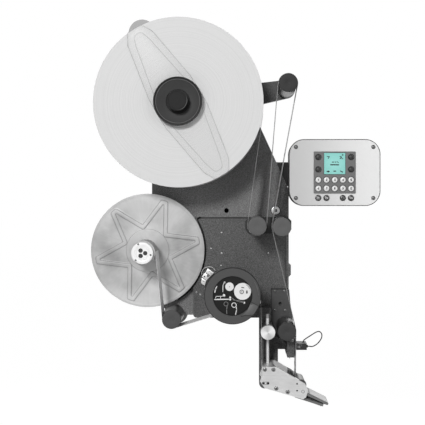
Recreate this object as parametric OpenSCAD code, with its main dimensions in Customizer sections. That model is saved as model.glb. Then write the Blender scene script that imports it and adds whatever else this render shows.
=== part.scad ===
// Label dispensing head: label roll, dancer, guide rollers, drive, liner rewind, beak and control panel.
// Millimetres. +Z is up, the operator stands at -Y, and the origin is the centre of the rear mount face.

/* [Frame] */
// Thickness of the main plate
plate_t = 10; // [6:1:16]
// Mount centre to the left edge of the main plate
plate_left = 146; // [130:1:160]
// Mount centre to the right edge of the main plate
plate_right = 110; // [106:1:116]
// Mount centre to the bottom edge of the main plate
plate_bottom = 183; // [180:1:190]
// Mount centre to the top edge of the main plate
plate_top = 262; // [245:1:280]
// Height above the mount where the right edge starts to slope inwards
shoulder_z = 50; // [40:1:60]
// Radius of the lobe behind the rewind reel
rewind_lobe_r = 46; // [36:1:56]
// Radius of the lobe behind the lower guide roller
lower_lobe_r = 22; // [18:1:24]
// Depth of the rear housing
housing_depth = 110; // [95:1:140]
// Wall of the rear housing
housing_wall = 3; // [2:0.5:5]
// Mount centre to the left side of the housing
housing_left = 126; // [110:1:130]
// Mount centre to the right side of the housing
housing_right = 78; // [74:1:80]
// Mount centre to the bottom of the housing
housing_bottom = 174; // [170:1:177]
// Mount centre to the top of the housing
housing_top = 110; // [92:1:130]

/* [Rear mount] */
// Width and height of the mount pad
pad_size = 150; // [140:1:150]
// Thickness of the mount pad
pad_t = 12; // [8:1:20]
// Spacing of the mount holes, both ways
mount_spacing = 120; // [100:1:125]
// Diameter of the mount holes
mount_hole_d = 9; // [6:0.5:11]

/* [Front cover] */
// Depth of the front cover
cover_depth = 12; // [8:1:20]
// Wall of the front cover
cover_wall = 3; // [2:0.5:4]
// Mount centre to the left edge of the cover
cover_left = 68; // [64:1:72]
// Mount centre to the right edge of the cover
cover_right = 104; // [100:1:106]
// Mount centre down to the bottom edge of the cover
cover_bottom = 187; // [184:1:189]
// Corner radius of the cover
cover_corner_r = 6; // [3:1:10]
// Diameter of the small cover screw heads
screw_head_d = 4; // [3:0.5:5]
// Height of the small screw heads
screw_head_h = 1.2; // [0.8:0.1:2]
// Head diameter of the large socket screw
socket_head_d = 14; // [10:1:16]

/* [Label supply] */
// Supply axis, right of the mount centre
supply_x = -89; // [-92:1:-86]
// Supply axis, above the mount centre
supply_z = 204; // [200:1:208]
// Outer diameter of the full label roll
roll_d = 300; // [200:1:304]
// Width of the label roll
roll_w = 59; // [57:1:59]
// Inner diameter of the roll core
core_d = 76.2; // [70:0.1:78]
// Diameter of the fixed supply spindle
spindle_d = 25; // [16:1:30]
// Distance from the axis to the tip of the clear front wing
front_wing_reach = 151; // [130:1:155]
// Distance from the axis to the tip of the rear wing's long arm
rear_wing_reach = 174; // [165:1:176]
// Distance from the axis to the tip of the rear wing's short arm
rear_wing_short = 140; // [120:1:146]
// Rounded end radius of a wing
wing_end_r = 25; // [18:1:28]
// Thickness of the front wing
front_wing_t = 3; // [2:0.5:4]
// Thickness of the rear wing
rear_wing_t = 5; // [3:0.5:6]
// Angle of the front wing against the horizontal
front_wing_angle = -59; // [-90:1:90]
// Angle of the rear wing against the horizontal
rear_wing_angle = -62; // [-90:1:90]
// Diameter of the dished hub flange
dish_d = 86; // [76:1:90]
// Depth of the dished hub flange
dish_depth = 14; // [10:1:18]
// How far the knob stands out of the dish
knob_reach = 12; // [6:1:20]

/* [Dancer] */
// Supply axis to the dancer roller axis
dancer_arm_len = 196.3; // [194:0.1:205]
// Angle of the dancer arm at rest
dancer_rest = 9.9; // [5:0.1:12]
// Thickness of the dancer arm
dancer_arm_t = 12; // [8:1:13]
// Half height of the arm at its pivot
dancer_root_r = 28; // [20:1:34]
// Half height of the arm at the roller
dancer_end_r = 17; // [12:1:20]

/* [Rollers] */
// Distance the rollers reach in front of the main plate
roller_reach = 115; // [110:1:125]
// Diameter of the guide rollers
roller_d = 33; // [26:1:33]
// Diameter of the infeed roller
infeed_d = 32; // [26:1:33]
// Diameter of the axles inside the rollers
axle_d = 12; // [8:1:14]
// Closed front wall of a roller
roller_cap_t = 4; // [2:0.5:6]
// Left guide roller, right of the mount centre
left_guide_x = 49.6; // [46:0.1:52]
// Left guide roller, above the mount centre
left_guide_z = -13.9; // [-18:0.1:-12]
// Right guide roller, right of the mount centre
right_guide_x = 93; // [92:0.1:95]
// Right guide roller, above the mount centre
right_guide_z = -15.5; // [-18:0.1:-12]
// Infeed roller, right of the mount centre
infeed_x = 102; // [100:0.1:104]
// Infeed roller, above the mount centre
infeed_z = -199; // [-202:0.1:-197]
// Lower guide roller, right of the mount centre
lower_guide_x = -100.7; // [-104:0.1:-98]
// Lower guide roller, above the mount centre
lower_guide_z = -177.7; // [-180:0.1:-175]
// Thickness of the roller brackets
bracket_t = 8; // [5:1:10]
// Height of the bracket behind the two guide rollers
guide_bracket_h = 30; // [24:1:36]
// How far that bracket reaches past the right guide axis
guide_bracket_reach = 21; // [18:1:24]

/* [Rewind] */
// Rewind axis, right of the mount centre
rewind_x = -152; // [-155:1:-149]
// Rewind axis, above the mount centre
rewind_z = -61.5; // [-64:0.5:-59]
// Diameter of the rewind flange
flange_d = 210; // [180:1:212]
// Sheet thickness of the rewind flange
flange_t = 3; // [2:0.5:5]
// How far the rim and the ribs stand out of the flange
rib_h = 2.5; // [1:0.5:4]
// Width of a flange rib
rib_w = 5; // [3:0.5:8]
// Diameter of the rewind hub
rewind_hub_d = 37; // [30:1:44]
// Diameter of the rewind cap
rewind_cap_d = 38.6; // [32:0.1:46]
// Thickness of the rewind cap
rewind_cap_t = 4; // [2:0.5:6]
// Outer diameter of the wound liner
wrap_d = 44; // [42:1:80]
// Diameter of the rewind shaft
rewind_shaft_d = 16; // [12:1:20]

/* [Drive] */
// Drive axis, right of the mount centre
drive_x = 6.5; // [4:0.5:9]
// Drive axis, above the mount centre
drive_z = -136.4; // [-139:0.1:-134]
// Diameter of the drive roller
drive_d = 50; // [44:1:52]
// Diameter of the drive shaft
drive_shaft_d = 12; // [8:1:14]
// Side of the square motor
motor_size = 57; // [42:1:60]
// Length of the motor
motor_len = 76; // [50:1:90]
// Outer diameter of the guard ring
guard_d = 99.4; // [92:0.1:100]
// Inner diameter of the guard ring
guard_inner_d = 69.4; // [60:0.1:76]
// Total thickness of the guard
guard_t = 8; // [6:1:8]
// Depth of the guard's recessed middle
guard_recess = 3; // [1:0.5:5]
// Diameter of the guard posts
guard_post_d = 9; // [6:1:12]
// Turning bar, right of the mount centre
turn_bar_x = 50; // [48:0.5:52]
// Turning bar, above the mount centre
turn_bar_z = -147; // [-149:0.5:-145]
// Diameter of the pressure roller
pressure_d = 18; // [14:1:20]
// Thickness of the pressure lever
lever_t = 8; // [5:1:10]

/* [Beak and beam] */
// Mount centre to the left side of the beam
beam_x = 54; // [53:0.5:55]
// Width of the beam below the infeed roller
beam_w = 34.5; // [34:0.5:38]
// Width of the beam beside the infeed bracket
beam_neck_w = 22; // [20:0.5:22]
// Mount centre down to the bottom of the beam
beam_bottom = 313; // [308:1:318]
// Mount centre down to the top of the beam
beam_top = 166; // [164:1:175]
// Depth of the beam
beam_depth = 28; // [24:1:28]
// Bottom corner radius of the beam
beam_corner_r = 10; // [4:1:14]
// Thickness of a beak side plate
beak_plate_t = 8; // [5:1:8]
// Clear width between the beak side plates
beak_gap = 58; // [58:1:60]
// Beak roller, right of the mount centre
beak_roller_x = 126; // [124:0.5:127]
// Beak roller, above the mount centre
beak_roller_z = -292; // [-293:0.5:-291]
// Diameter of the beak roller
beak_roller_d = 16; // [12:1:17]
// Peel tip, right of the mount centre
peel_tip_x = 173; // [168:0.5:178]
// Peel tip, above the mount centre
peel_tip_z = -327; // [-330:0.5:-324]
// Length of the peel bar
peel_len = 44; // [40:1:45]
// Thickness of the peel bar at its root
peel_root_t = 4.5; // [4:0.5:7]
// Thickness of the peel bar at its tip
peel_tip_t = 3; // [2:0.5:4]
// Length of the liner guide under the peel bar
liner_guide_len = 52; // [40:1:56]
// Thickness of the liner guide
liner_guide_t = 4; // [2:0.5:5]
// Adjusting rod, right of the mount centre
rod_x = 68.5; // [68:0.5:70]
// Diameter of the adjusting rod
rod_d = 6; // [4:0.5:8]
// Mount centre down to the top of the rod
rod_top = 172.6; // [165:0.1:180]
// Depth of the rod behind the front plane
rod_depth = 40; // [32:1:48]
// Height of the clamp nose
nose_h = 18; // [14:1:22]
// Width of the clamp nose
nose_w = 16; // [14:1:17]
// Clamp knob, above the mount centre
clamp_z = -199.8; // [-202:0.1:-197]
// Diameter of the clamp knob
clamp_d = 25; // [20:1:30]
// Thickness of the clamp knob
clamp_t = 14; // [10:1:18]

/* [Label sensor] */
// Height of the sensor head
sensor_h = 11; // [9:0.5:12]
// Depth of the sensor head
sensor_depth = 34; // [28:1:34]
// Width of the sensor
sensor_w = 18.5; // [16:0.5:20]
// Slot between the sensor and the fork jaw
sensor_slot = 3.4; // [3:0.1:4]
// Top of the sensor, above the mount centre
sensor_top_z = -224.5; // [-225:0.5:-224]
// Height of the fork jaw
jaw_h = 28; // [24:1:30]
// Diameter of the sensor cable
cable_d = 2; // [1.6:0.1:2.6]

/* [Control panel] */
// Panel centre, right of the mount centre
panel_x = 188; // [186:0.5:192]
// Panel centre, above the mount centre
panel_z = 80.7; // [78:0.1:84]
// Width of the panel
panel_w = 163; // [158:1:166]
// Height of the panel
panel_h = 119; // [114:1:124]
// Corner radius of the panel
panel_r = 27; // [20:1:30]
// Depth of the panel
panel_depth = 40; // [30:1:50]
// Wall of the panel shell
panel_wall = 3; // [2:0.5:4]
// Thickness of the panel face
face_t = 4; // [3:0.5:5]
// Thickness of the display bezel on the face
bezel_t = 1; // [0.6:0.1:2]
// Side of the square bezel
bezel_w = 75; // [74:0.5:78]
// Side of the square display
display_w = 38; // [34:0.5:40]
// Column pitch of the keys
key_pitch = 14.6; // [13.5:0.1:15]
// Diameter of a number key
number_key_d = 10.4; // [9:0.1:11]
// Diameter of a soft key beside the display
soft_key_d = 9.6; // [8:0.1:11]
// Diameter of a function key below the bezel
function_key_d = 11; // [9:0.1:12]
// How far a key stands out
key_proud = 2; // [1.5:0.1:3]

/* [Web] */
// Thickness of the label web
web_t = 0.3; // [0.2:0.05:0.5]
// Width of the label web
web_w = 55; // [50:1:55]

/* [Fits] */
// Radial running clearance of a shaft in its bore
run_fit = 0.05; // [0.02:0.01:0.1]
// Gap between neighbouring bodies that move
gap = 0.3; // [0.3:0.05:0.5]

/* [Hidden] */
$fn = 64;

// Stations of the turning pieces in the X-Z plane
supply = [supply_x, supply_z];
dancer = supply + dancer_arm_len * [cos(dancer_rest), sin(dancer_rest)];
left_guide = [left_guide_x, left_guide_z];
right_guide = [right_guide_x, right_guide_z];
infeed = [infeed_x, infeed_z];
lower_guide = [lower_guide_x, lower_guide_z];
rewind = [rewind_x, rewind_z];
drive = [drive_x, drive_z];
turn_bar = [turn_bar_x, turn_bar_z];
beak_pivot = [beak_roller_x, beak_roller_z];
peel_tip = [peel_tip_x, peel_tip_z];

// Depth stations, from the mount face at zero towards the operator
y_plate_rear = -(pad_t + housing_depth);
y_plate = y_plate_rear - plate_t;
y_cover = y_plate - cover_depth;
y_bracket = y_cover - bracket_t;
y_front = y_plate - roller_reach;
y_beak = y_front;
y_beak_in = y_beak + beak_plate_t;
y_beak_out = y_beak_in + beak_gap;
y_web = y_beak_in + (beak_gap - web_w) / 2;
y_web_end = y_web + web_w;
y_roll = y_web - (roll_w - web_w) / 2;
y_roll_end = y_roll + roll_w;
y_beam = y_cover - beam_depth;
y_lever = y_web_end + 2;
y_panel = y_front + 30;
y_rod = y_front + rod_depth;

// Web: every roller it wraps, with the turning sense seen from the operator (1 is anticlockwise)
web_r = gap + web_t / 2;
turn_bar_d = axle_d;
return_bar_d = 10;
return_bar = [beam_x + 11, beak_roller_z + 4];
wraps = [
  [supply, roll_d / 2, -1],
  [left_guide, roller_d / 2, 1],
  [dancer, roller_d / 2, -1],
  [right_guide, roller_d / 2, 1],
  [infeed, infeed_d / 2, -1],
  [beak_pivot, beak_roller_d / 2, 1],
  [peel_tip, peel_tip_t / 2, -1],
  [return_bar, return_bar_d / 2, -1],
  [turn_bar, turn_bar_d / 2, 1],
  [drive, drive_d / 2, -1],
  [lower_guide, roller_d / 2, -1],
  [rewind, wrap_d / 2, 1]
];

function dir(a) = [cos(a), sin(a)];
function positive(a) = a - 360 * floor(a / 360);
function heading(v) = atan2(v[1], v[0]);
function path_r(i) = wraps[i][1] + web_r;
// Angle of the left-hand normal of the strand that runs from wrap i to the next one
function strand_normal(i) =
  let (across = wraps[i + 1][0] - wraps[i][0])
  let (offset_sum = wraps[i + 1][2] * path_r(i + 1) - wraps[i][2] * path_r(i))
  heading(across) + acos(offset_sum / norm(across));
function contact_angle(i, strand) = strand_normal(strand) + (wraps[i][2] > 0 ? 180 : 0);
function contact(i, strand, h) =
  wraps[i][0] + (path_r(i) - wraps[i][2] * h) * dir(contact_angle(i, strand));
function wrap_sweep(i) = wraps[i][2] > 0
  ? positive(strand_normal(i) - strand_normal(i - 1))
  : -positive(strand_normal(i - 1) - strand_normal(i));
arc_steps = 14;
function wrap_arc(i, h) = [for (k = [0 : arc_steps])
  wraps[i][0] + (path_r(i) - wraps[i][2] * h)
    * dir(contact_angle(i, i - 1) + wrap_sweep(i) * k / arc_steps)];
// One edge of the web from wrap a to wrap b, h to the left of its middle
function web_edge(a, b, h, lead, tail) = concat(
  lead ? wrap_arc(a, h) : [contact(a, a, h)],
  [for (i = [a + 1 : 1 : b - 1]) each wrap_arc(i, h)],
  tail ? wrap_arc(b, h) : [contact(b, b - 1, h)]);
function backwards(list) = [for (i = [len(list) - 1 : -1 : 0]) list[i]];

// Extrudes a drawing of the X-Z plane from y0 backwards over t
module slab(y0, t) {
  translate([0, y0 + t, 0]) rotate([90, 0, 0]) linear_extrude(t) children();
}

module disc(at, r) {
  translate(at) circle(r);
}

module rod(at, y0, y1, r) {
  slab(y0, y1 - y0) disc(at, r);
}

module rounded_rect(w, h, r) {
  square([w - 2 * r, h], center = true);
  square([w, h - 2 * r], center = true);
  for (sx = [-1, 1], sy = [-1, 1]) disc([sx * (w / 2 - r), sy * (h / 2 - r)], r);
}

// Straight sides between two circles, drawn a little inside their tangents so that they cut cleanly
link_inset = 0.12;
module link_sides(a, ra, b, rb) {
  lean = heading(b - a);
  spread = acos((ra - rb) / norm(b - a));
  pa = ra - link_inset;
  pb = rb - link_inset;
  polygon([a + pa * dir(lean + spread), b + pb * dir(lean + spread),
    b + pb * dir(lean - spread), a + pa * dir(lean - spread)]);
}

// Two circles joined by straight sides
module tapered_link(a, ra, b, rb) {
  disc(a, ra);
  disc(b, rb);
  link_sides(a, ra, b, rb);
}

module web_run(a, b, lead = false, tail = false) {
  slab(y_web, web_w) polygon(concat(
    web_edge(a, b, web_t / 2, lead, tail),
    backwards(web_edge(a, b, -web_t / 2, lead, tail))));
}

// Guide roller with a closed front, running on an axle of axle_d
module guide_roller(at, d, y_end) {
  difference() {
    rod(at, y_front, y_end, d / 2);
    rod(at, y_front + roller_cap_t, y_end + 1, axle_d / 2 + run_fit);
  }
}

// Main plate with its lobes, and the bearing boss of the rewind shaft
plate_corner = 40;
slope_top_x = 20;
plain_hole = [-6.5, 12.2];
plain_hole_r = 4.4;
socket_screw = [85.2, 12.2];
spindle_stub_d = 14;
axle_stub_d = 8;
boss_len = 16;
boss_wall = 8;
axle_flange_t = 3;
lug_z = -99;
lug_h = 18;
lug_out = 4;
module plate_outline() {
  polygon([[-plate_left, lower_guide_z + 60], [-plate_left, plate_top - plate_corner],
    [-plate_left + plate_corner, plate_top], [0, plate_top], [slope_top_x, plate_top - 13],
    [plate_right - 2, shoulder_z + 6], [plate_right, shoulder_z], [plate_right, lug_z + lug_h / 2 + lug_out],
    [plate_right + lug_out, lug_z + lug_h / 2], [plate_right + lug_out, lug_z - lug_h / 2],
    [plate_right, lug_z - lug_h / 2 - lug_out], [plate_right, -plate_bottom],
    [lower_guide_x, -plate_bottom], [lower_guide_x - lower_lobe_r + 2, lower_guide_z + 8]]);
  disc(rewind, rewind_lobe_r);
  disc(lower_guide, lower_lobe_r);
}
module main_plate() {
  color("dimgray") difference() {
    union() {
      slab(y_plate, plate_t) plate_outline();
      rod(rewind, y_plate_rear, y_plate_rear + boss_len, rewind_shaft_d / 2 + boss_wall);
    }
    rod(supply, y_plate - 1, y_plate_rear + 1, spindle_stub_d / 2 + run_fit);
    rod(lower_guide, y_plate - 1, y_plate_rear + 1, axle_stub_d / 2 + run_fit);
    rod(rewind, y_plate - 1, y_plate_rear + boss_len + 1, rewind_shaft_d / 2 + run_fit);
    rod(drive, y_plate - 1, y_plate_rear + 1, drive_shaft_d / 2 + 2);
    rod(plain_hole, y_plate - 1, y_plate_rear + 1, plain_hole_r);
  }
}

// Shallow front cover over the lower half of the plate
cover_top = 0;
cover_w = cover_left + cover_right;
cover_h = cover_top + cover_bottom;
cover_mid = [(cover_right - cover_left) / 2, (cover_top - cover_bottom) / 2];
module front_cover() {
  color("dimgray") difference() {
    slab(y_cover, cover_depth) translate(cover_mid) rounded_rect(cover_w, cover_h, cover_corner_r);
    slab(y_cover + cover_wall, cover_depth) translate(cover_mid)
      square([cover_w - 2 * cover_wall, cover_h - 2 * cover_wall], center = true);
    rod(drive, y_cover - 1, y_plate, drive_shaft_d / 2 + 2);
  }
}

// Sheet housing behind the plate, with the pad that bolts to a stand
housing_w = housing_left + housing_right;
housing_h = housing_top + housing_bottom;
housing_mid = [(housing_right - housing_left) / 2, (housing_top - housing_bottom) / 2];
module rear_housing() {
  color("gray") difference() {
    union() {
      slab(y_plate_rear, housing_depth) translate(housing_mid) rounded_rect(housing_w, housing_h, 8);
      slab(-pad_t, pad_t) rounded_rect(pad_size, pad_size, 10);
    }
    slab(y_plate_rear - 1, housing_depth - housing_wall + 1) translate(housing_mid)
      rounded_rect(housing_w - 2 * housing_wall, housing_h - 2 * housing_wall, 8 - housing_wall);
    for (sx = [-1, 1], sz = [-1, 1])
      rod([sx, sz] * mount_spacing / 2, -pad_t - housing_wall - 1, 1, mount_hole_d / 2);
  }
}

// Small button heads on the front cover, the socket screw, and the bracket and panel screws
cover_screws = [[-15.5, -28.6], [-35, -58.3], [-15.2, -66.7], [71.5, -66.7], [-16.5, -89.9],
  [-62, -139.7], [-55.1, -143.4]];
bracket_screws = [[-18.3, 62.5], [-1.7, 62.5], [-18.7, 27], [0.1, 27]];
bracket_hole = [-8.7, 39.2];
panel_screw_d = 5;
panel_screw_in = [12.5, 14];
module screw_head(at, y, d, h) {
  rod(at, y - h, y, d / 2);
}
module socket_head(at, y, d, h) {
  difference() {
    screw_head(at, y, d, h);
    slab(y - h - 1, h / 2 + 1) translate(at) circle(d / 4, $fn = 6);
  }
}
module screws() {
  color("silver") {
    for (p = cover_screws) screw_head(p, y_cover, screw_head_d, screw_head_h);
    for (p = bracket_screws) screw_head(infeed + p, y_bracket, screw_head_d, screw_head_h);
    socket_head(socket_screw, y_plate, socket_head_d, socket_head_d / 2);
    for (sx = [-1, 1], sz = [-1, 1])
      screw_head([panel_x + sx * (panel_w / 2 - panel_screw_in[0]),
        panel_z + sz * (panel_h / 2 - panel_screw_in[1])], y_panel, panel_screw_d, screw_head_h);
  }
}

// Fixed shafts: supply spindle, guide axles and the turning bar that the pressure lever swings on
y_axle = y_front + roller_cap_t + 0.5;
spindle_flange_r = spindle_d / 2 + 8;
y_spindle_end = y_roll + 2;
module fixed_axles() {
  color("silver") {
    rod(supply, y_spindle_end, y_plate, spindle_d / 2);
    rod(supply, y_plate - axle_flange_t, y_plate, spindle_flange_r);
    rod(supply, y_plate, y_plate_rear, spindle_stub_d / 2);
    for (p = [left_guide, right_guide, infeed]) rod(p, y_axle, y_bracket, axle_d / 2);
    rod(lower_guide, y_axle, y_plate, axle_d / 2);
    rod(lower_guide, y_bracket, y_plate, axle_d / 2 + 4);
    rod(lower_guide, y_plate, y_plate_rear, axle_stub_d / 2);
    rod(turn_bar, y_front + guard_t, y_cover, turn_bar_d / 2);
  }
}

// Bracket behind the two guide rollers, and the bracket that carries the infeed roller
guide_chamfer = 7;
module guide_bracket_outline() {
  x0 = left_guide_x - guide_bracket_reach;
  x1 = right_guide_x + guide_bracket_reach;
  z0 = (left_guide_z + right_guide_z - guide_bracket_h) / 2;
  z1 = z0 + guide_bracket_h;
  c = guide_chamfer;
  polygon([[x0 + c, z0], [x1 - c, z0], [x1, z0 + c], [x1, z1 - c], [x1 - c, z1], [x0 + c, z1],
    [x0, z1 - c], [x0, z0 + c]]);
}
module infeed_bracket_outline() {
  polygon([[-25, 65], [8, 65], [10, 41], [infeed_d / 2, 0], [0, -infeed_d / 2 - 2.6],
    [-25, -infeed_d / 2 - 2.6]]);
  circle(infeed_d / 2);
}
module roller_brackets() {
  color("black") {
    slab(y_bracket, bracket_t) guide_bracket_outline();
    difference() {
      slab(y_bracket, bracket_t) translate(infeed) infeed_bracket_outline();
      rod(infeed + bracket_hole, y_bracket - 1, y_cover + 1, 3.1);
    }
  }
}

// Guard in front of the drive roller, on two posts
guard_post_r = 40;
guard_post_angles = [60, 150];
module drive_guard() {
  color("black") {
    difference() {
      rod(drive, y_front, y_front + guard_t, guard_d / 2);
      rod(drive, y_front - 1, y_front + guard_recess, guard_inner_d / 2);
    }
    for (a = guard_post_angles)
      rod(drive + guard_post_r * dir(a), y_front + guard_t, y_cover, guard_post_d / 2);
  }
}

// Bright latch with a wire bail beside the guard
latch_at = [-40, -106];
latch_turn = -31;
module latch_clip() {
  color("gainsboro") {
    slab(y_cover - 6, 6) translate(latch_at) rotate(latch_turn) square([16, 18], center = true);
    slab(y_cover - 3, 3) translate(latch_at) rotate(latch_turn) translate([0, -13])
      square([8, 10], center = true);
    slab(y_cover - 5, 2) translate(latch_at) rotate(latch_turn) translate([0, 8]) difference() {
      circle(7.6);
      circle(6.2);
      translate([-10, -20]) square([20, 20]);
    }
  }
}

// Beam that carries the beak, with the fork arm of the sensor and the clamp nose of the rod
web_x = infeed_x + infeed_d / 2 + web_r - 0.3;
jaw_x = web_x - sensor_slot / 2;
sensor_x = web_x + sensor_slot / 2;
jaw_w = 13;
arm_h = 20;
arm_top_z = sensor_top_z + 3.5;
beam_step_z = infeed_z - infeed_d / 2 - 3;
beam_recess = 4;
y_fork = y_front + 30;
y_fork_end = y_cover - 8;
y_nose = y_web;
module beam_outline() {
  translate([beam_x, beam_step_z]) square([beam_neck_w, -beam_top - beam_step_z]);
  translate([beam_x + beam_w / 2, (beam_step_z - beam_bottom + beam_corner_r) / 2])
    square([beam_w, beam_step_z + beam_bottom - beam_corner_r], center = true);
  translate([beam_x + beam_corner_r, -beam_bottom])
    square([beam_w - 2 * beam_corner_r, 2 * beam_corner_r]);
  for (x = [beam_x + beam_corner_r, beam_x + beam_w - beam_corner_r])
    disc([x, beam_corner_r - beam_bottom], beam_corner_r);
}
module dispensing_beam() {
  color("dimgray") difference() {
    union() {
      slab(y_beam, beam_depth) beam_outline();
      slab(y_beam, y_fork_end - y_beam) translate([beam_x + beam_w - 1, arm_top_z - arm_h])
        square([sensor_x - beam_x - beam_w + 1, arm_h]);
      slab(y_fork, y_fork_end - y_fork) translate([jaw_x - jaw_w, arm_top_z - jaw_h])
        square([jaw_w, jaw_h]);
      slab(y_nose, y_beam - y_nose) translate([rod_x, clamp_z])
        square([nose_w, nose_h], center = true);
    }
    slab(y_beam - 1, beam_recess + 1) translate([beam_x + 5, -beam_bottom + 2 * beam_corner_r])
      square([beam_w - 12, beam_step_z + beam_bottom - 2 * beam_corner_r - 4]);
    translate([rod_x, y_rod, clamp_z]) cylinder(r = rod_d / 2 + run_fit, h = nose_h + 2, center = true);
    rod([rod_x, clamp_z], y_nose - 1, y_rod, clamp_shank_d / 2 + run_fit);
  }
}

// Label sensor with the two glands of its cable loop
sensor_y = y_front + 45;
cable_route = [[141, -231], [144, -231.2], [148, -231.6], [152, -230.6], [156, -228.2], [160, -224.8],
  [163, -221], [165.4, -217], [166.4, -213], [166, -209], [164, -206], [161, -204.6], [157.5, -205.2],
  [154, -206.9], [150, -209.3], [146, -211.9], [142, -214.5], [139, -216.4], [136.6, -218],
  [134.8, -219.5], [133.6, -221], [133.1, -222.4], [133, -223.2]];
cable_first = cable_route[0];
cable_last = cable_route[len(cable_route) - 1];
gland_r = 2.6;
module label_sensor() {
  color("gray") {
    slab(y_fork, sensor_depth) translate([sensor_x, sensor_top_z - sensor_h])
      square([sensor_w, sensor_h]);
    slab(y_fork, y_fork_end - y_fork) translate([sensor_x, sensor_top_z - sensor_h])
      square([sensor_w - 1, sensor_h / 2]);
    translate([sensor_x + sensor_w - 1, sensor_y, cable_first[1]]) rotate([0, 90, 0])
      cylinder(r = gland_r, h = cable_first[0] - sensor_x - sensor_w + 1);
    translate([cable_last[0], sensor_y, sensor_top_z - 1])
      cylinder(r = gland_r, h = cable_last[1] - sensor_top_z + 1);
  }
}

// Cable swept along its route as one tube
cable_sides = 8;
cable_n = len(cable_route);
function cable_lean(i) = i == 0 ? 0 : i == cable_n - 1 ? -90
  : heading(cable_route[i + 1] - cable_route[i - 1]);
cable_points = [for (i = [0 : cable_n - 1], k = [0 : cable_sides - 1])
  let (a = 360 * k / cable_sides, across = cable_lean(i) + 90)
  [cable_route[i][0] + cable_d / 2 * cos(a) * cos(across), sensor_y + cable_d / 2 * sin(a),
    cable_route[i][1] + cable_d / 2 * cos(a) * sin(across)]];
cable_walls = [for (i = [0 : cable_n - 2], k = [0 : cable_sides - 1])
  let (a = i * cable_sides + k, b = i * cable_sides + (k + 1) % cable_sides)
  each [[a, b, b + cable_sides], [a, b + cable_sides, a + cable_sides]]];
cable_ends = [[for (k = [cable_sides - 1 : -1 : 0]) k],
  [for (k = [0 : cable_sides - 1]) (cable_n - 1) * cable_sides + k]];
module sensor_cable() {
  color("black") polyhedron(cable_points, concat(cable_walls, cable_ends));
}

// Control panel: shell with its arm to the plate, face with bezel, display and keys
y_panel_rear = y_panel + panel_depth;
panel_at = [panel_x, panel_z];
arm_plate_t = 8;
arm_z = [58, 103];
arm_left = panel_x - 70;
arm_right = panel_x - 40;
face_inset = 1;
module panel_shell() {
  color("black") {
    difference() {
      slab(y_panel + face_t, panel_depth - face_t) translate(panel_at)
        rounded_rect(panel_w, panel_h, panel_r);
      slab(y_panel + face_t - 1, panel_depth - face_t - panel_wall + 1) translate(panel_at)
        rounded_rect(panel_w - 2 * panel_wall, panel_h - 2 * panel_wall, panel_r - panel_wall);
    }
    slab(y_panel_rear, y_plate_rear + arm_plate_t - y_panel_rear) translate([arm_left, arm_z[0]])
      square([arm_right - arm_left, arm_z[1] - arm_z[0]]);
    slab(y_plate_rear, arm_plate_t) translate([housing_right + 4, arm_z[0]])
      square([arm_right - housing_right - 4, arm_z[1] - arm_z[0]]);
  }
}

key_fit = 0.1;
key_flange = 1;
number_rows = [-13.1, -28.3];
soft_rows = [27.5, 5.5];
function_row = -45.4;
function number_key_at(i) =
  let (slot = i == 0 ? 9 : i - 1)
  panel_at + [(slot % 5 - 2) * key_pitch, number_rows[floor(slot / 5)]];
function soft_key_at(i) = panel_at + [(i < 3 ? -2 : 2) * key_pitch, soft_rows[(i - 1) % 2]];
function function_key_at(i) = panel_at + [(i < 3 ? i - 3 : i - 2) * key_pitch, function_row];
display_at = panel_at + [0, 16];
module key_bores(y0, y1) {
  for (i = [0 : 9]) rod(number_key_at(i), y0, y1, number_key_d / 2 + key_fit);
  for (i = [1 : 4]) rod(soft_key_at(i), y0, y1, soft_key_d / 2 + key_fit);
  for (i = [1 : 4]) rod(function_key_at(i), y0, y1, function_key_d / 2 + key_fit);
}
module panel_face() {
  color("gainsboro") difference() {
    union() {
      slab(y_panel, face_t) translate(panel_at)
        rounded_rect(panel_w - 2 * face_inset, panel_h - 2 * face_inset, panel_r - face_inset);
      slab(y_panel - bezel_t, bezel_t) translate(panel_at) rounded_rect(bezel_w, bezel_w, 2);
    }
    slab(y_panel - bezel_t - 1, bezel_t + 1) translate(display_at)
      square(display_w + 2 * key_fit, center = true);
    key_bores(y_panel - bezel_t - 1, y_panel + face_t + 1);
  }
}
module display_window() {
  color("paleturquoise") slab(y_panel - bezel_t, bezel_t) translate(display_at)
    square(display_w, center = true);
}

// Round key with a rounded crown and a retaining flange behind the face
module key(at, d, y_seat) {
  r = d / 2;
  stem = y_panel + face_t + gap - y_seat;
  translate([at[0], y_panel + face_t + gap + key_flange, at[1]]) rotate([90, 0, 0])
    rotate_extrude() polygon([[0, 0], [r + key_flange, 0], [r + key_flange, key_flange],
      [r, key_flange], [r, key_flange + stem + key_proud - 1],
      [r - 0.5, key_flange + stem + key_proud - 0.4], [r - 1.6, key_flange + stem + key_proud],
      [0, key_flange + stem + key_proud]]);
}
module number_key(i) {
  color("silver") key(number_key_at(i), number_key_d, y_panel - bezel_t);
}
module soft_key(i) {
  color("dimgray") key(soft_key_at(i), soft_key_d, y_panel - bezel_t);
}
module function_key(i) {
  color("dimgray") key(function_key_at(i), function_key_d, y_panel);
}

// Motor inside the housing, and the drive roller on its shaft
shaft_seat = 25;
module drive_motor() {
  color("darkslategray") difference() {
    slab(y_plate_rear, motor_len) translate(drive) rounded_rect(motor_size, motor_size, 5);
    rod(drive, y_plate_rear - 1, y_plate_rear + shaft_seat + 5, drive_shaft_d / 2 + run_fit);
  }
}
module drive_roller() {
  color("dimgray") {
    rod(drive, y_web - 0.5, y_web_end + 0.5, drive_d / 2);
    rod(drive, y_web_end, y_plate_rear + shaft_seat, drive_shaft_d / 2);
  }
}

// Stretches of web that stay where they are
module fixed_web() {
  color("whitesmoke") {
    web_run(0, 1, tail = true);
    web_run(3, 4, lead = true, tail = true);
    web_run(8, 11, lead = true);
  }
}
// Loop of web over the dancer roller
module loop_web() {
  color("whitesmoke") web_run(1, 3);
}
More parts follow.
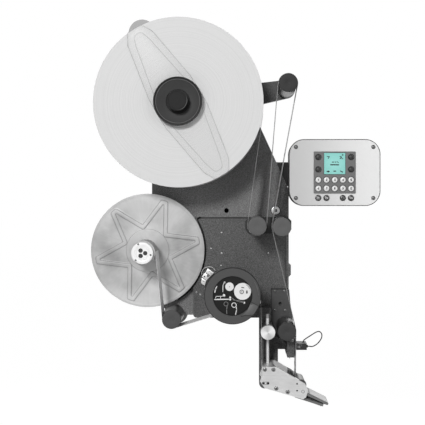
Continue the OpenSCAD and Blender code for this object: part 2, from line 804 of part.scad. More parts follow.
// Web through the beak and back up to the turning bar
module beak_web() {
  color("whitesmoke") web_run(4, 8);
}

// Supply: roll, hub with the rear wing, clear front wing, dished hub flange
y_arm = y_plate - axle_flange_t - 1 - dancer_arm_t;
y_wing = y_roll - 0.5 - front_wing_t;
hub_r = core_d / 2 - gap;
module label_roll() {
  color("whitesmoke") slab(y_roll, roll_w) difference() {
    disc(supply, roll_d / 2);
    disc(supply, core_d / 2);
  }
}
wing_root_r = dish_d / 2 + 1;
wing_bolt_d = 9;
module wing_arm(reach, angle) {
  end = supply + (reach - wing_end_r) * dir(angle);
  disc(end, wing_end_r);
  link_sides(supply, wing_root_r, end, wing_end_r);
}
module wing_outline(reach, other_reach, angle) {
  disc(supply, wing_root_r);
  wing_arm(reach, angle);
  wing_arm(other_reach, angle + 180);
}
module supply_hub() {
  color("gray") difference() {
    union() {
      rod(supply, y_roll - 0.5, y_arm - 1, hub_r);
      slab(y_roll_end + 0.5, rear_wing_t)
        wing_outline(rear_wing_short, rear_wing_reach, rear_wing_angle);
    }
    rod(supply, y_roll - 2, y_arm, spindle_d / 2 + run_fit);
  }
}
module front_wing() {
  color("whitesmoke", 0.6) difference() {
    union() {
      rod(supply, y_wing, y_wing + front_wing_t, wing_root_r - 2);
      slab(y_wing, front_wing_t)
        wing_outline(front_wing_reach, front_wing_reach, front_wing_angle);
    }
    rod(supply, y_wing - 1, y_roll, wing_bolt_d / 2);
  }
}
dish_floor = 6;
knob_foot_r = 19;
knob_face_r = 18.4;
module hub_dish() {
  rim = dish_d / 2;
  color("black") translate([supply[0], y_wing, supply[1]]) rotate([90, 0, 0]) rotate_extrude()
    polygon([[0, 0], [rim - 4, 0], [rim, 4], [rim, dish_depth], [rim - 2.5, dish_depth],
      [knob_foot_r + 4, dish_floor], [knob_foot_r, dish_floor],
      [knob_face_r, dish_depth + knob_reach - 2], [knob_face_r - 2, dish_depth + knob_reach],
      [0, dish_depth + knob_reach]]);
}

// Dancer arm on the supply spindle, with the axle of its roller
module dancer_arm() {
  color("dimgray") {
    difference() {
      slab(y_arm, dancer_arm_t) tapered_link(supply, dancer_root_r, dancer, dancer_end_r);
      rod(supply, y_arm - 1, y_plate, spindle_d / 2 + run_fit);
    }
    rod(dancer, y_axle, y_arm, axle_d / 2);
  }
}
roller_end_gap = 0.5;
module dancer_roller() {
  color("gray") guide_roller(dancer, roller_d, y_arm - roller_end_gap);
}
module left_guide_roller() {
  color("gray") guide_roller(left_guide, roller_d, y_bracket - roller_end_gap);
}
module right_guide_roller() {
  color("gray") guide_roller(right_guide, roller_d, y_bracket - roller_end_gap);
}
module infeed_roller() {
  color("gray") guide_roller(infeed, infeed_d, y_bracket - roller_end_gap);
}
module lower_guide_roller() {
  color("gray") guide_roller(lower_guide, roller_d, y_bracket - roller_end_gap);
}

// Rewind reel: flange with a rim and six V-shaped petals, hub with its shaft, cap and wound liner
y_flange_end = y_cover - 5;
y_flange = y_flange_end - flange_t;
petal_turn = 11;
petal_inner_r = 44;
petal_count = 6;
collar_t = 4;
petal_knot_r = rib_w / 2 + 0.8;
rib_root = 0.5;
module petal_bar(a, b) {
  along = b - a;
  translate(a) rotate(heading(along)) translate([0, -rib_w / 2]) square([norm(along), rib_w]);
}
module petal_ribs(tip) {
  for (i = [0 : petal_count - 1]) {
    turn = petal_turn + i * 360 / petal_count;
    disc(tip * dir(turn), petal_knot_r);
    disc(petal_inner_r * dir(turn + 180 / petal_count), petal_knot_r);
    for (side = [-1, 1])
      petal_bar(tip * dir(turn), petal_inner_r * dir(turn + side * 180 / petal_count));
  }
}
module rewind_flange() {
  rim = flange_d / 2;
  color("silver", 0.9) difference() {
    union() {
      slab(y_flange, flange_t) disc(rewind, rim - rib_w / 2);
      slab(y_flange - rib_h, flange_t + rib_h) translate(rewind) difference() {
        circle(rim);
        circle(rim - rib_w);
      }
      slab(y_flange - rib_h, rib_h + rib_root) translate(rewind) petal_ribs(rim - 2 * rib_w - 1);
    }
    rod(rewind, y_flange - rib_h - 1, y_flange_end + 1, rewind_hub_d / 2 + run_fit);
  }
}
module rewind_hub() {
  y_shaft_end = y_plate_rear + boss_len + 0.5 + collar_t;
  color("dimgray") {
    rod(rewind, y_front + rewind_cap_t, y_flange_end, rewind_hub_d / 2);
    rod(rewind, y_flange_end, y_plate - 0.5, rewind_hub_d / 2 + 4);
    rod(rewind, y_plate - 1, y_shaft_end, rewind_shaft_d / 2);
    rod(rewind, y_shaft_end - collar_t, y_shaft_end, rewind_shaft_d / 2 + 3);
  }
}
lobe_r = 5.4;
lobe_d = 6.6;
lobe_depth = 2.5;
module rewind_cap() {
  color("white") difference() {
    rod(rewind, y_front, y_front + rewind_cap_t, rewind_cap_d / 2);
    for (a = [0, 120, 240])
      rod(rewind + lobe_r * dir(a), y_front - 1, y_front + lobe_depth, lobe_d / 2);
  }
}
module waste_wrap() {
  color("whitesmoke") slab(y_web, web_w) difference() {
    disc(rewind, wrap_d / 2);
    disc(rewind, rewind_hub_d / 2 + run_fit);
  }
}

// Pressure lever on the turning bar, with the roller that presses the web against the drive roller
nip = 3 * gap + web_t;
pressure_angle = contact_angle(9, 8) + wrap_sweep(9) / 2;
pressure_at = drive + (drive_d / 2 + nip + pressure_d / 2) * dir(pressure_angle);
pressure_pin_d = 8;
lever_hub_r = turn_bar_d / 2 + 5;
module pressure_lever() {
  color("black") {
    difference() {
      slab(y_lever, lever_t) tapered_link(turn_bar, lever_hub_r, pressure_at, pressure_pin_d / 2 + 4);
      rod(turn_bar, y_lever - 1, y_lever + lever_t + 1, turn_bar_d / 2 + run_fit);
    }
    rod(pressure_at, y_web + 2, y_lever, pressure_pin_d / 2);
  }
}
module pressure_roller() {
  color("gray") difference() {
    rod(pressure_at, y_web, y_lever - gap, pressure_d / 2);
    rod(pressure_at, y_web - 1, y_lever, pressure_pin_d / 2 + run_fit);
  }
}

// Beak: two side plates, peel bar, liner guide, roller and the rod it hangs on
beak_top = beak_roller_z + 32;
beak_pin_d = 6;
beak_screw_d = 7;
beak_screws = [[9, -5], [24, -5], [29, -38], [49, -44]];
beak_corners = [[4.2, 0], [28.3, 0], [79.8, -30], [84.7, -42], [81, -53.5], [76, -57.2],
  [8.7, -37.6], [0.7, -26], [4.7, -15]];
module beak_outline() {
  translate([beam_x, beak_top]) polygon(beak_corners);
}
module beak_plate(y0) {
  difference() {
    slab(y0, beak_plate_t) beak_outline();
    rod(beak_pivot, y0 - 1, y0 + beak_plate_t + 1, beak_pin_d / 2 + run_fit);
  }
}
module beak_front_plate() {
  color("gainsboro") {
    beak_plate(y_beak);
    for (p = beak_screws) screw_head([beam_x, beak_top] + p, y_beak, beak_screw_d, screw_head_h);
  }
}
module beak_rear_plate() {
  color("gainsboro") {
    beak_plate(y_beak_out);
    rod(return_bar, y_beak_in, y_beak_out, return_bar_d / 2);
  }
}
function strand_dir(i) = dir(strand_normal(i) - 90);
peel_root = peel_tip - peel_len * strand_dir(5)
  - (peel_root_t - peel_tip_t) / 2 * dir(strand_normal(5));
peel_bore_d = 2.5;
module peel_bar() {
  color("silver") {
    difference() {
      slab(y_beak_in, beak_gap) tapered_link(peel_root, peel_root_t / 2, peel_tip, peel_tip_t / 2);
      rod(peel_root, y_beak_in - 1, y_beak_out + 1, peel_bore_d / 2);
    }
  }
}
liner_lead = 6;
spacer_bar = [beak_roller_x - 17, beak_roller_z + 12];
spacer_d = 8;
module liner_guide() {
  from = contact(6, 6, -web_r - gap) + liner_lead * strand_dir(6);
  along = liner_guide_len * strand_dir(6);
  down = liner_guide_t * dir(strand_normal(6));
  start = from + 2 * (web_r + gap) * dir(strand_normal(6));
  color("dimgray") {
    slab(y_beak_in, beak_gap) polygon([start, start + along, start + along + down, start + down]);
    rod(spacer_bar, y_beak_in, y_beak_out, spacer_d / 2);
  }
}
module beak_roller() {
  color("dimgray") {
    rod(beak_pivot, y_beak_in + roller_end_gap, y_beak_out - roller_end_gap, beak_roller_d / 2);
    rod(beak_pivot, y_beak + 1, y_beak_out + beak_plate_t - 1, beak_pin_d / 2);
  }
}
crossbar_h = 12;
module adjusting_rod() {
  color("silver") {
    translate([rod_x, y_rod, beak_top - crossbar_h])
      cylinder(r = rod_d / 2, h = -rod_top - beak_top + crossbar_h);
    slab(y_beak_in, beak_gap) translate([rod_x - nose_w / 2, beak_top - crossbar_h])
      square([nose_w, crossbar_h]);
  }
}
clamp_shank_d = 8;
module clamp_knob() {
  at = [rod_x, clamp_z];
  color("gainsboro") {
    rod(at, y_nose - gap - clamp_t, y_nose - gap, clamp_d / 2);
    rod(at, y_nose - gap - 1, y_rod - rod_d / 2 - gap, clamp_shank_d / 2);
  }
}

main_plate();
front_cover();
rear_housing();
screws();
fixed_axles();
roller_brackets();
drive_guard();
latch_clip();
dispensing_beam();
label_sensor();
sensor_cable();
panel_shell();
panel_face();
display_window();
drive_motor();
fixed_web();
drive_roller();
label_roll();
supply_hub();
front_wing();
hub_dish();
dancer_arm();
dancer_roller();
loop_web();
left_guide_roller();
right_guide_roller();
infeed_roller();
lower_guide_roller();
rewind_flange();
rewind_hub();
rewind_cap();
waste_wrap();
pressure_lever();
pressure_roller();
beak_front_plate();
beak_rear_plate();
peel_bar();
liner_guide();
beak_roller();
adjusting_rod();
clamp_knob();
beak_web();
for (i = [1 : 4]) soft_key(i);
for (i = [0 : 9]) number_key(i);
for (i = [1 : 4]) function_key(i);
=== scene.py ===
import math
from functools import partialmethod

import bmesh
import bpy
from mathutils import Matrix, Vector


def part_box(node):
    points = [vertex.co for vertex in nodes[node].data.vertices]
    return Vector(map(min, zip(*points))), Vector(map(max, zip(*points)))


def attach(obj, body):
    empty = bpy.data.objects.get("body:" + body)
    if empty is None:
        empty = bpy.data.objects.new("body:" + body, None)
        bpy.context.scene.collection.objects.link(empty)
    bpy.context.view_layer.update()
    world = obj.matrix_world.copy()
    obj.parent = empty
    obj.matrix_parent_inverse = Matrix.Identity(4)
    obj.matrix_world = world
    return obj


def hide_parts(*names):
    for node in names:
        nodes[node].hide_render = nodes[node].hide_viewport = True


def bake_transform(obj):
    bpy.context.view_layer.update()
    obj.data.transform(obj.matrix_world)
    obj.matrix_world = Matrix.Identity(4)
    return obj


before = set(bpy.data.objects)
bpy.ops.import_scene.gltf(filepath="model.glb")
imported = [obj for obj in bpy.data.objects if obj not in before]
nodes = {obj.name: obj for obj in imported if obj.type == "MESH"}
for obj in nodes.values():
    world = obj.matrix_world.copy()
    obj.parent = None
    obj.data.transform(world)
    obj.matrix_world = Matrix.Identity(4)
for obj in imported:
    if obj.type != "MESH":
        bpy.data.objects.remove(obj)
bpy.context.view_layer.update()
scene = bpy.context.scene
scene.view_settings.view_transform = "Standard"
MM = 0.001

# Camera at the photograph's angle: level, square to the front, its axis right of and above the mount
PICTURE = 425
FOCAL_PIXELS = 945
AXIS_PIXEL = (246, 201)
CAMERA_SPOT = (0.030, -1.901, 0.030)
camera_data = bpy.data.cameras.new("camera")
camera_data.sensor_width = 36
camera_data.lens = FOCAL_PIXELS * camera_data.sensor_width / PICTURE
camera_data.shift_x = (PICTURE / 2 - AXIS_PIXEL[0]) / PICTURE
camera_data.shift_y = (AXIS_PIXEL[1] - PICTURE / 2) / PICTURE
camera = bpy.data.objects.new("camera", camera_data)
camera.location = CAMERA_SPOT
camera.rotation_euler = (math.pi / 2, 0, 0)
scene.collection.objects.link(camera)
scene.camera = camera


def circle(count):
    """Even turns round a full circle."""
    return [math.tau * k / count for k in range(count)]


def smooth_line(points, parts):
    """Points on a smooth curve through all the given ones."""
    line = []
    for i in range(len(points) - 1):
        p0, p1 = points[max(i - 1, 0)], points[i]
        p2, p3 = points[i + 1], points[min(i + 2, len(points) - 1)]
        for k in range(parts):
            t = k / parts
            line.append(0.5 * (2 * p1 + (p2 - p0) * t + (2 * p0 - 5 * p1 + 4 * p2 - p3) * t ** 2
                               + (3 * p1 - p0 - 3 * p2 + p3) * t ** 3))
    return line + [points[-1]]


def line_length(points):
    return sum((b - a).length for a, b in zip(points, points[1:]))


def to_mesh(name, bm, weld=True):
    if weld:
        bmesh.ops.remove_doubles(bm, verts=bm.verts, dist=1e-7)
    bmesh.ops.recalc_face_normals(bm, faces=bm.faces)
    mesh = bpy.data.meshes.new(name)
    bm.to_mesh(mesh)
    bm.free()
    return mesh


def join_rows(bm, rows, indices=None):
    """Faces between each closed row of points and the next, each band with its own finish."""
    for a, b, index in zip(rows, rows[1:], indices or [0] * len(rows)):
        for k in range(len(a)):
            n = (k + 1) % len(a)
            bm.faces.new((a[k], a[n], b[n], b[k])).material_index = index


def wire(bm, points, reach, sides=10):
    """A round wire along points in metres, closed at both ends."""
    rings = []
    for i, p in enumerate(points):
        along = (points[min(i + 1, len(points) - 1)] - points[max(i - 1, 0)]).normalized()
        first = along.cross(Vector((0, 1, 0)) if abs(along.y) < 0.9 else Vector((1, 0, 0))).normalized()
        second = along.cross(first)
        rings.append([bm.verts.new(p + reach * (first * math.cos(a) + second * math.sin(a)))
                      for a in circle(sides)])
    join_rows(bm, rings)
    bm.faces.new(rings[0])
    bm.faces.new(rings[-1])
    return bm


# Sensor cable: the source's own route, in metres
CABLE_Y = -0.202
CABLE_D = 0.002
CABLE_ROUTE = [
    (0.141, -0.231), (0.144, -0.2312), (0.148, -0.2316), (0.152, -0.2306), (0.156, -0.2282),
    (0.16, -0.2248), (0.163, -0.221), (0.1654, -0.217), (0.1664, -0.213), (0.166, -0.209),
    (0.164, -0.206), (0.161, -0.2046), (0.1575, -0.2052), (0.154, -0.2069), (0.15, -0.2093),
    (0.146, -0.2119), (0.142, -0.2145), (0.139, -0.2164), (0.1366, -0.218), (0.1348, -0.2195),
    (0.1336, -0.221), (0.1331, -0.2224), (0.133, -0.2232)]
cable_points = smooth_line([Vector((x, CABLE_Y, z)) for x, z in CABLE_ROUTE], 4)
cable = bpy.data.objects.new("cable", to_mesh("cable", wire(bmesh.new(), cable_points, CABLE_D / 2, 12)))
scene.collection.objects.link(cable)
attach(cable, "root")
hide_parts("sensor_cable")
line_length(cable_points)

# Places that several finishes and pieces share, in millimetres: x and z in the picture, y in depth
SUPPLY = (-89.0, 204.0)
REWIND = (-152.0, -61.5)
PETAL_TURN = math.radians(11)
DRIVE = (6.5, -136.4)
PANEL = (188.0, 80.7)
DISPLAY = (PANEL[0], PANEL[1] + 16.0)
KNOB = (68.5, -199.8)
FRONT_Y = -247.0
COVER_Y = -144.0
PLATE_Y = -132.0
PANEL_Y = -217.0
REEL_FRONT = -152.0
ROLL_R, LINER_R = 150.0, 21.9

# Finishes: shaders work in metres, on tones from 0 to 255 as a screen shows them
finishes = {}
# Noise that many finishes share, as scale, detail and roughness
FINE = (1800, 2, 0.55)
SLOW = (14, 4, 0.6)


def linear(tone):
    """Linear colour of a grey level or a colour."""
    levels = tone if isinstance(tone, tuple) else (tone,) * 3
    parts = [v / 255 for v in levels]
    return tuple(v / 12.92 if v <= 0.04045 else ((v + 0.055) / 1.055) ** 2.4 for v in parts) + (1.0,)


class Value:
    """A node's output that takes part in sums: each sum adds its Math node."""

    def __init__(self, owner, output):
        self.owner, self.output = owner, output

    def math(self, operation, *others):
        return self.owner.sum(operation, self, *others)

    def __rsub__(self, other):
        return self.owner.sum("SUBTRACT", other, self)

    __add__ = __radd__ = partialmethod(math, "ADD")
    __mul__ = __rmul__ = partialmethod(math, "MULTIPLY")
    __sub__ = partialmethod(math, "SUBTRACT")
    __truediv__ = partialmethod(math, "DIVIDE")
    __pow__ = partialmethod(math, "POWER")


class Nodes:
    """A node tree, with the one way in which a node is added to it."""

    def __init__(self, tree):
        self.tree = tree

    def plug(self, socket, value):
        if isinstance(value, Value):
            self.tree.links.new(value.output, socket)
        else:
            socket.default_value = value

    def node(self, kind, settings=None, sockets=None, output=0):
        made = self.tree.nodes.new(kind)
        for name, value in (settings or {}).items():
            setattr(made, name, value)
        for name, value in (sockets or {}).items():
            self.plug(made.inputs[name], value)
        return Value(self, made.outputs[output]) if made.outputs else None

    def sum(self, operation, *parts):
        return self.node("ShaderNodeMath", {"operation": operation}, dict(enumerate(parts)))


class Finish(Nodes):
    """One procedural material, with the few nodes that the finishes share."""

    def __init__(self, name, **constants):
        self.material = bpy.data.materials.new(name)
        self.material.use_nodes = True
        super().__init__(self.material.node_tree)
        self.shader = self.tree.nodes["Principled BSDF"]
        finishes[name] = self
        for socket, value in constants.items():
            self.set(socket.replace("_", " "), value)

    def set(self, socket, value):
        self.plug(self.shader.inputs[socket], value)

    def place(self, x=0.0, y=0.0, z=0.0, scale=(1, 1, 1)):
        """Object coordinates in metres around a point in millimetres."""
        spot = self.node("ShaderNodeTexCoord", output="Object")
        return self.node("ShaderNodeMapping", {}, {
            "Vector": spot, "Location": (-x * MM, -y * MM, -z * MM), "Scale": scale})

    def axes(self, *point, vector=None):
        """The three parts of a vector, or else of the place around a point."""
        parts = self.node("ShaderNodeSeparateXYZ", {}, {0: vector or self.place(*point)})
        return [Value(self, out) for out in parts.output.node.outputs]

    def radius(self, x, z):
        """Distance from an axis along the depth, and the turn round it."""
        across, _, up = self.axes(x, 0, z)
        return (across * across + up * up) ** 0.5, up.math("ARCTAN2", across)

    def noise(self, scale, detail=2.0, rough=0.5, vector=None):
        return self.node("ShaderNodeTexNoise", {}, {
            "Vector": vector or self.place(), "Scale": scale, "Detail": detail, "Roughness": rough})

    def rings(self, value, detail=2.0, rough=0.5):
        """Noise along one value only."""
        return self.node("ShaderNodeTexNoise", {"noise_dimensions": "1D"}, {
            "W": value, "Scale": 1.0, "Detail": detail, "Roughness": rough})

    def step(self, value, low, high, to_low=0.0, to_high=1.0):
        """A soft step from to_low below low to to_high above high."""
        return self.node("ShaderNodeMapRange", {"interpolation_type": "SMOOTHSTEP"}, {
            "Value": value, "From Min": low, "From Max": high, "To Min": to_low, "To Max": to_high})

    def inside(self, value, low, high, soft):
        """1 between low and high, 0 outside, with soft edges."""
        return self.step(value, low - soft, low + soft) * self.step(value, high - soft, high + soft, 1, 0)

    def mix(self, share, first, second):
        """A colour between two, each a tone or another mix."""
        first, second = (c if isinstance(c, Value) else linear(c) for c in (first, second))
        return self.node("ShaderNodeMix", {"data_type": "RGBA"}, {0: share, 6: first, 7: second}, 2)

    def skin(self, colour, rough, height, depth, strength):
        """Colour, roughness and relief, which every finish has."""
        self.set("Base Color", colour)
        self.set("Roughness", rough)
        self.set("Normal", self.node("ShaderNodeBump", {}, {
            "Height": height, "Distance": depth, "Strength": strength}))


def powder_coat(name, dark, light, grain, rough):
    """Dark paint with a coarse sparkle and a pebbled skin."""
    f = Finish(name, Specular_IOR_Level=0.35)
    pebble = f.noise(grain, 2, 0.6)
    flake = f.step(f.noise(grain * 1.7, 1, 0.5), 0.6, 0.72)
    base = f.mix(f.step(pebble, 0.3, 0.7), dark, light)
    f.skin(f.mix(flake * 0.55, base, light + 62), rough + 0.2 * (f.noise(7, 3) - 0.5) - 0.12 * flake,
           pebble, 0.0004, 0.6)


def satin(name, dark, light, rough, grain=1800, depth=0.00006, **constants):
    """Moulded or painted satin skin: fine grain, slow change of tone, sheen made uneven by wear."""
    f = Finish(name, **constants)
    fine = f.noise(grain, 2, 0.55)
    slow = f.noise(*SLOW)
    f.skin(f.mix(f.step(slow, 0.3, 0.7) * 0.7 + fine * 0.3, dark, light),
           rough + 0.18 * (slow - 0.5) + 0.1 * (fine - 0.5), fine, depth, 0.7)


def metal(name, dark, light, rough, stretch):
    """Bare metal with tool marks drawn along one way."""
    f = Finish(name, Metallic=0.85)
    marks = f.noise(1.0, 3, 0.6, f.place(scale=stretch))
    slow = f.noise(18, 3, 0.5)
    f.skin(f.mix(marks * 0.6 + slow * 0.4, dark, light),
           rough + 0.22 * (marks - 0.5) + 0.1 * (slow - 0.5), marks, 0.00003, 0.6)


def bracket_paint():
    """Black coat on the upper roller bracket, partly standing for painted shade behind the guide rollers;
    dark grey on the lower one.
    """
    f = Finish("bracket_paint", Specular_IOR_Level=0.4)
    fine = f.noise(*FINE)
    # The upper bracket's black is partly painted shade behind and between the guide rollers
    upper = f.step(f.axes()[2], -0.064, -0.060)
    f.skin(f.mix(upper, f.mix(fine, 52, 68), f.mix(fine, 8, 16)), 0.45 + 0.14 * (fine - 0.5),
           fine, 0.00006, 0.5)


def cup_moulding():
    """Black dish: a pale line inside its dark rim, a grey bowl, painted shade in the groove round the knob, a
    painted highlight on the knob's edge.
    """
    f = Finish("cup_plastic", Specular_IOR_Level=0.25)
    reach, turn = f.radius(*SUPPLY)
    fine = f.noise(*FINE)
    # A pale line on the inner lip of the rim
    pale_lip_line = f.inside(reach, 0.0379, 0.0387, 0.0003)
    rim = f.step(reach, 0.0388, 0.0394)
    knob = f.step(reach, 0.0178, 0.0184, 1, 0) * f.step(f.axes()[1], -0.262, -0.258, 1, 0)
    bowl = f.step(reach, 0.0202, 0.0216)
    # Painted highlight: a pale crescent on the right and lower right of the knob's edge
    glint = knob * f.inside(reach, 0.0166, 0.0173, 0.0003) * f.inside(turn, -1.3, 0.3, 0.4)
    # Painted shade: the groove round the knob, inside the bowl, is coloured black (6)
    body = f.mix(rim, f.mix(bowl, 6, f.mix(fine, 52, 64)), 10)
    body = f.mix(knob, body, f.mix(fine, 24, 32))
    f.skin(f.mix(pale_lip_line + 0.6 * glint, body, 124), 0.56 + 0.16 * (fine - 0.5) + 0.2 * knob, fine, 0.00006, 0.6)


def guard_skin():
    """Dark satin ring round a near black disc that carries the threading diagram; painted shadow darkens the
    ring's outer edge.
    """
    f = Finish("guard_skin", Specular_IOR_Level=0.2)
    reach, _ = f.radius(*DRIVE)
    fine = f.noise(*FINE)
    slow = f.noise(*SLOW)
    # Painted shadow: past 48.7 mm the ring's outer edge goes near black (22)
    ring = f.mix(f.step(reach, 0.0484, 0.0490), f.mix(slow * 0.7 + fine * 0.3, 62, 80), 22)
    f.skin(f.mix(f.step(reach, 0.0345, 0.0349), 8, ring), 0.6 + 0.15 * (slow - 0.5), fine, 0.00006, 0.7)


def roller_skin(name, tube_tone, cap_tone, shine):
    """Anodised or rubber-faced tube with turned rings and a moulded end cap at the front."""
    f = Finish(name, Specular_IOR_Level=0.4)
    depth = f.axes()[1]
    cap = f.step(depth, FRONT_Y * MM + 0.0032, FRONT_Y * MM + 0.0036, 1, 0)
    rings = f.rings(depth * 2400)
    grain = f.noise(1500, 2, 0.6)
    tube = f.mix(rings, tube_tone - 14, tube_tone + 14)
    f.set("Metallic", shine - shine * cap)
    f.skin(f.mix(cap, tube, f.mix(grain, cap_tone - 9, cap_tone + 9)),
           0.36 + 0.34 * cap + 0.1 * (grain - 0.5), rings * (1 - cap) + grain * cap, 0.00003, 0.5)


def spun_metal():
    """Turned aluminium: fine rings, and a painted sheen in its colour that fans out from the middle."""
    f = Finish("spun_aluminium", Metallic=0.7)
    reach, turn = f.radius(*KNOB)
    rings = f.rings(reach * 5200)
    # Painted sheen: two lighter and two darker sectors round the knob's middle
    painted_sheen = (turn * 2 + 0.9).math("SINE") * 0.5 + 0.5
    f.skin(f.mix(painted_sheen * 0.7 + rings * 0.2 + f.noise(60, 2) * 0.1, 166, 232), 0.34 + 0.1 * (rings - 0.5),
           rings, 0.00002, 0.5)


def roll_paper(name, centre, outer, pitch, dark, light, skin, labels):
    """Side of wound paper: faint rings where layers stand proud; labels lie along the outermost turn, painted
    darker than the side as shade, with darker gaps between them.
    """
    f = Finish(name, Specular_IOR_Level=0.2)
    reach, turn = f.radius(*centre)
    broad = f.rings(reach * pitch, 3.0, 0.65)
    fine = f.rings(reach * pitch * 7 + turn * 0.2)
    fibre = f.noise(700, 3, 0.6)
    side = f.mix(f.step(broad * 0.5 + fine * 0.3 + fibre * 0.2, 0.3, 0.7), dark, light)
    share = (turn * (labels / math.tau)).math("FRACT")
    # Painted shade: the outermost turn's tone is darker than the paper's side; gaps between labels are a
    # further 30 darker
    outside = f.mix(f.inside(share, 0.03, 0.97, 0.006), skin - 30, skin)
    f.skin(f.mix(f.step(reach, outer - 0.0004, outer - 0.0001), side, outside), 0.72 + 0.2 * (fibre - 0.5),
           fine * 0.6 + broad * 0.4, 0.0002, 0.5)


def web_paper():
    """Backing strip with labels on it: the mesh's own map runs along the strip in metres."""
    f = Finish("paper", Specular_IOR_Level=0.3)
    pitch = 0.062
    along, across, _ = f.axes(vector=f.node("ShaderNodeUVMap", {"uv_map": "strip"}))
    within = (along / pitch).math("FRACT") * pitch
    label = f.inside(within, 0.002, 0.060, 0.0006) * f.inside(across, 0.003, 0.052, 0.0006)
    fibre = f.noise(900, 3, 0.6)
    f.skin(f.mix(label, f.mix(fibre, 150, 166), f.mix(fibre, 190, 204)),
           0.6 - 0.2 * label + 0.1 * (fibre - 0.5), label + 0.1 * fibre, 0.00008, 0.8)


def bare_liner():
    """Liner without labels: pale on its way to the reel, darkened by painted shade where it comes off the
    beak.
    """
    f = Finish("bare_liner", Specular_IOR_Level=0.3)
    fibre = f.noise(900, 2, 0.55)
    # Painted shade: right of x = 0.03 m the liner goes dark
    painted_shade = f.step(f.axes()[0], -0.02, 0.03)
    f.skin(f.mix(painted_shade, f.mix(fibre, 226, 238), f.mix(fibre, 96, 112)), 0.5 + 0.1 * (fibre - 0.5),
           fibre, 0.00006, 0.4)


def clear_moulding(name, tone, solidity):
    """Clear plastic, nearly unseen over its flats; a greyer, more solid copy of it is painted shade along the
    rounded edges.
    """
    f = Finish(name, IOR=1.49, Specular_IOR_Level=0.5)
    slow = f.noise(22, 2)
    f.set("Alpha", solidity * (0.8 + 0.4 * slow))
    f.skin(f.mix(slow, tone - 10, tone + 10), 0.18 + 0.12 * slow, slow, 0.0002, 0.4)


def reel_moulding():
    """Pale reel sheet: cloudy patches, painted shade in the hollows inside the petals, a painted sheen
    towards the top and bottom, and a thin painted shade line along each rib.
    """
    f = Finish("reel_plastic", Specular_IOR_Level=0.35, Metallic=0.1)
    reach, turn = f.radius(*REWIND)
    streak = f.node("ShaderNodeTexNoise", {"noise_dimensions": "2D"}, {
        "Vector": f.node("ShaderNodeCombineXYZ", {}, {0: turn * 26, 1: reach * 30}),
        "Scale": 1.0, "Detail": 3.0})
    cloud = f.step(f.noise(22, 3, 0.6), 0.35, 0.65)
    petal = ((turn - PETAL_TURN) * 6).math("COSINE")
    # Painted shade in the hollow inside each petal
    petal_shade = (0.5 + 0.5 * petal) * f.inside(reach, 0.050, 0.086, 0.008)
    # Painted sheen: lighter towards the top and bottom of the reel
    sheen = 0.5 - 0.5 * (turn * 2).math("COSINE")
    tone = 0.18 + streak * 0.14 + cloud * 0.24 + sheen * 0.4 - petal_shade * 0.24
    # Painted shade: a thin dark line on the flanks of the ribs
    line = f.inside(f.axes()[1], REEL_FRONT * MM - 0.0011, REEL_FRONT * MM - 0.0003, 0.0002)
    f.skin(f.mix(line * 0.55, f.mix(tone, 138, 208), 104), 0.44 + 0.14 * (cloud - 0.5), streak, 0.00006, 0.4)


def panel_skin():
    """Light panel face, darkened towards the left by painted shade; the raised square round the display is
    mid grey.
    """
    f = Finish("panel_light", Specular_IOR_Level=0.4)
    across, depth, up = f.axes(PANEL[0], PANEL_Y, PANEL[1])
    half = 0.0376
    bezel = (f.inside(across, -half, half, 0.0001) * f.inside(up, -half, half, 0.0001)
             * f.step(depth, -0.0006, -0.0002, 1, 0))
    grain = f.noise(2200, 2, 0.6)
    slow = f.noise(12, 3)
    # Painted shade: the face goes from 224 on the right to 182 on the left
    face = f.mix(f.step(across + 0.01 * slow, -0.09, 0.09), 182, 224)
    f.skin(f.mix(bezel, face, f.mix(grain * 0.5 + slow * 0.5, 90, 108)),
           0.42 + 0.1 * bezel + 0.12 * (grain - 0.5), grain, 0.00005, 0.6)


def display_skin():
    """Lit display: pale cyan, a little brighter in the middle, with a faint dot grid."""
    f = Finish("display_glass", Specular_IOR_Level=0.5, Coat_Weight=0.4, Emission_Strength=0.06)
    across, _, up = f.axes(DISPLAY[0], 0, DISPLAY[1])
    glow = f.step((across * across + up * up) ** 0.5, 0.0, 0.03, 1, 0)
    dots = (across * 5200).math("SINE") * (up * 5200).math("SINE")
    tone = f.mix(glow * 0.8 + 0.1 * dots, (122, 192, 184), (146, 208, 202))
    f.set("Emission Color", tone)
    f.skin(tone, 0.16 + 0.05 * dots, dots, 0.00001, 0.3)


# All finishes: paints, mouldings and metals by their tones, then those with a place or a pattern of their own
# The main plate's paint is the frame paint made lighter: painted light, for the plate that lies in the roll's
# shade
for coat in (("frame_paint", 50, 90, 620, 0.5), ("plate_paint_lightened", 80, 130, 620, 0.5),
             ("arm_paint", 34, 66, 620, 0.5), ("housing_paint", 58, 88, 900, 0.55)):
    powder_coat(*coat)
for moulding in (
        ("black_paint", 14, 24, 0.45), ("black_plastic", 26, 38, 0.4), ("sensor_plastic", 8, 14, 0.65),
        ("cable_jacket", 8, 16, 0.5), ("motor_paint", 42, 54, 0.4), ("hub_plastic", 138, 152, 0.45),
        ("white_plastic", 226, 240, 0.35), ("soft_key", 7, 13, 0.5), ("ink_white", 210, 224, 0.4),
        ("ink_black", 5, 12, 0.6), ("ink_grey", 96, 112, 0.45), ("lid_grey", 84, 98, 0.6),
        ("lens_grey", 96, 118, 0.4), ("wedge_skin", 66, 84, 0.4), ("seam_dark", 34, 44, 0.6),
        ("socket_dark", 10, 22, 0.6), ("painted_light_rear_plate", 196, 210, 0.4), ("guide_plastic", 92, 118, 0.45)):
    satin(*moulding)
satin("drive_rubber", 44, 58, 0.75, grain=2600, depth=0.0001)
satin("silver_key", 206, 222, 0.28, Coat_Weight=0.3)
satin("dark_key", 20, 32, 0.3, Coat_Weight=0.2)
satin("ink_window", 44, 56, 0.3, Coat_Weight=0.3)
satin("rod_steel", 224, 234, 0.3, Metallic=0.15)
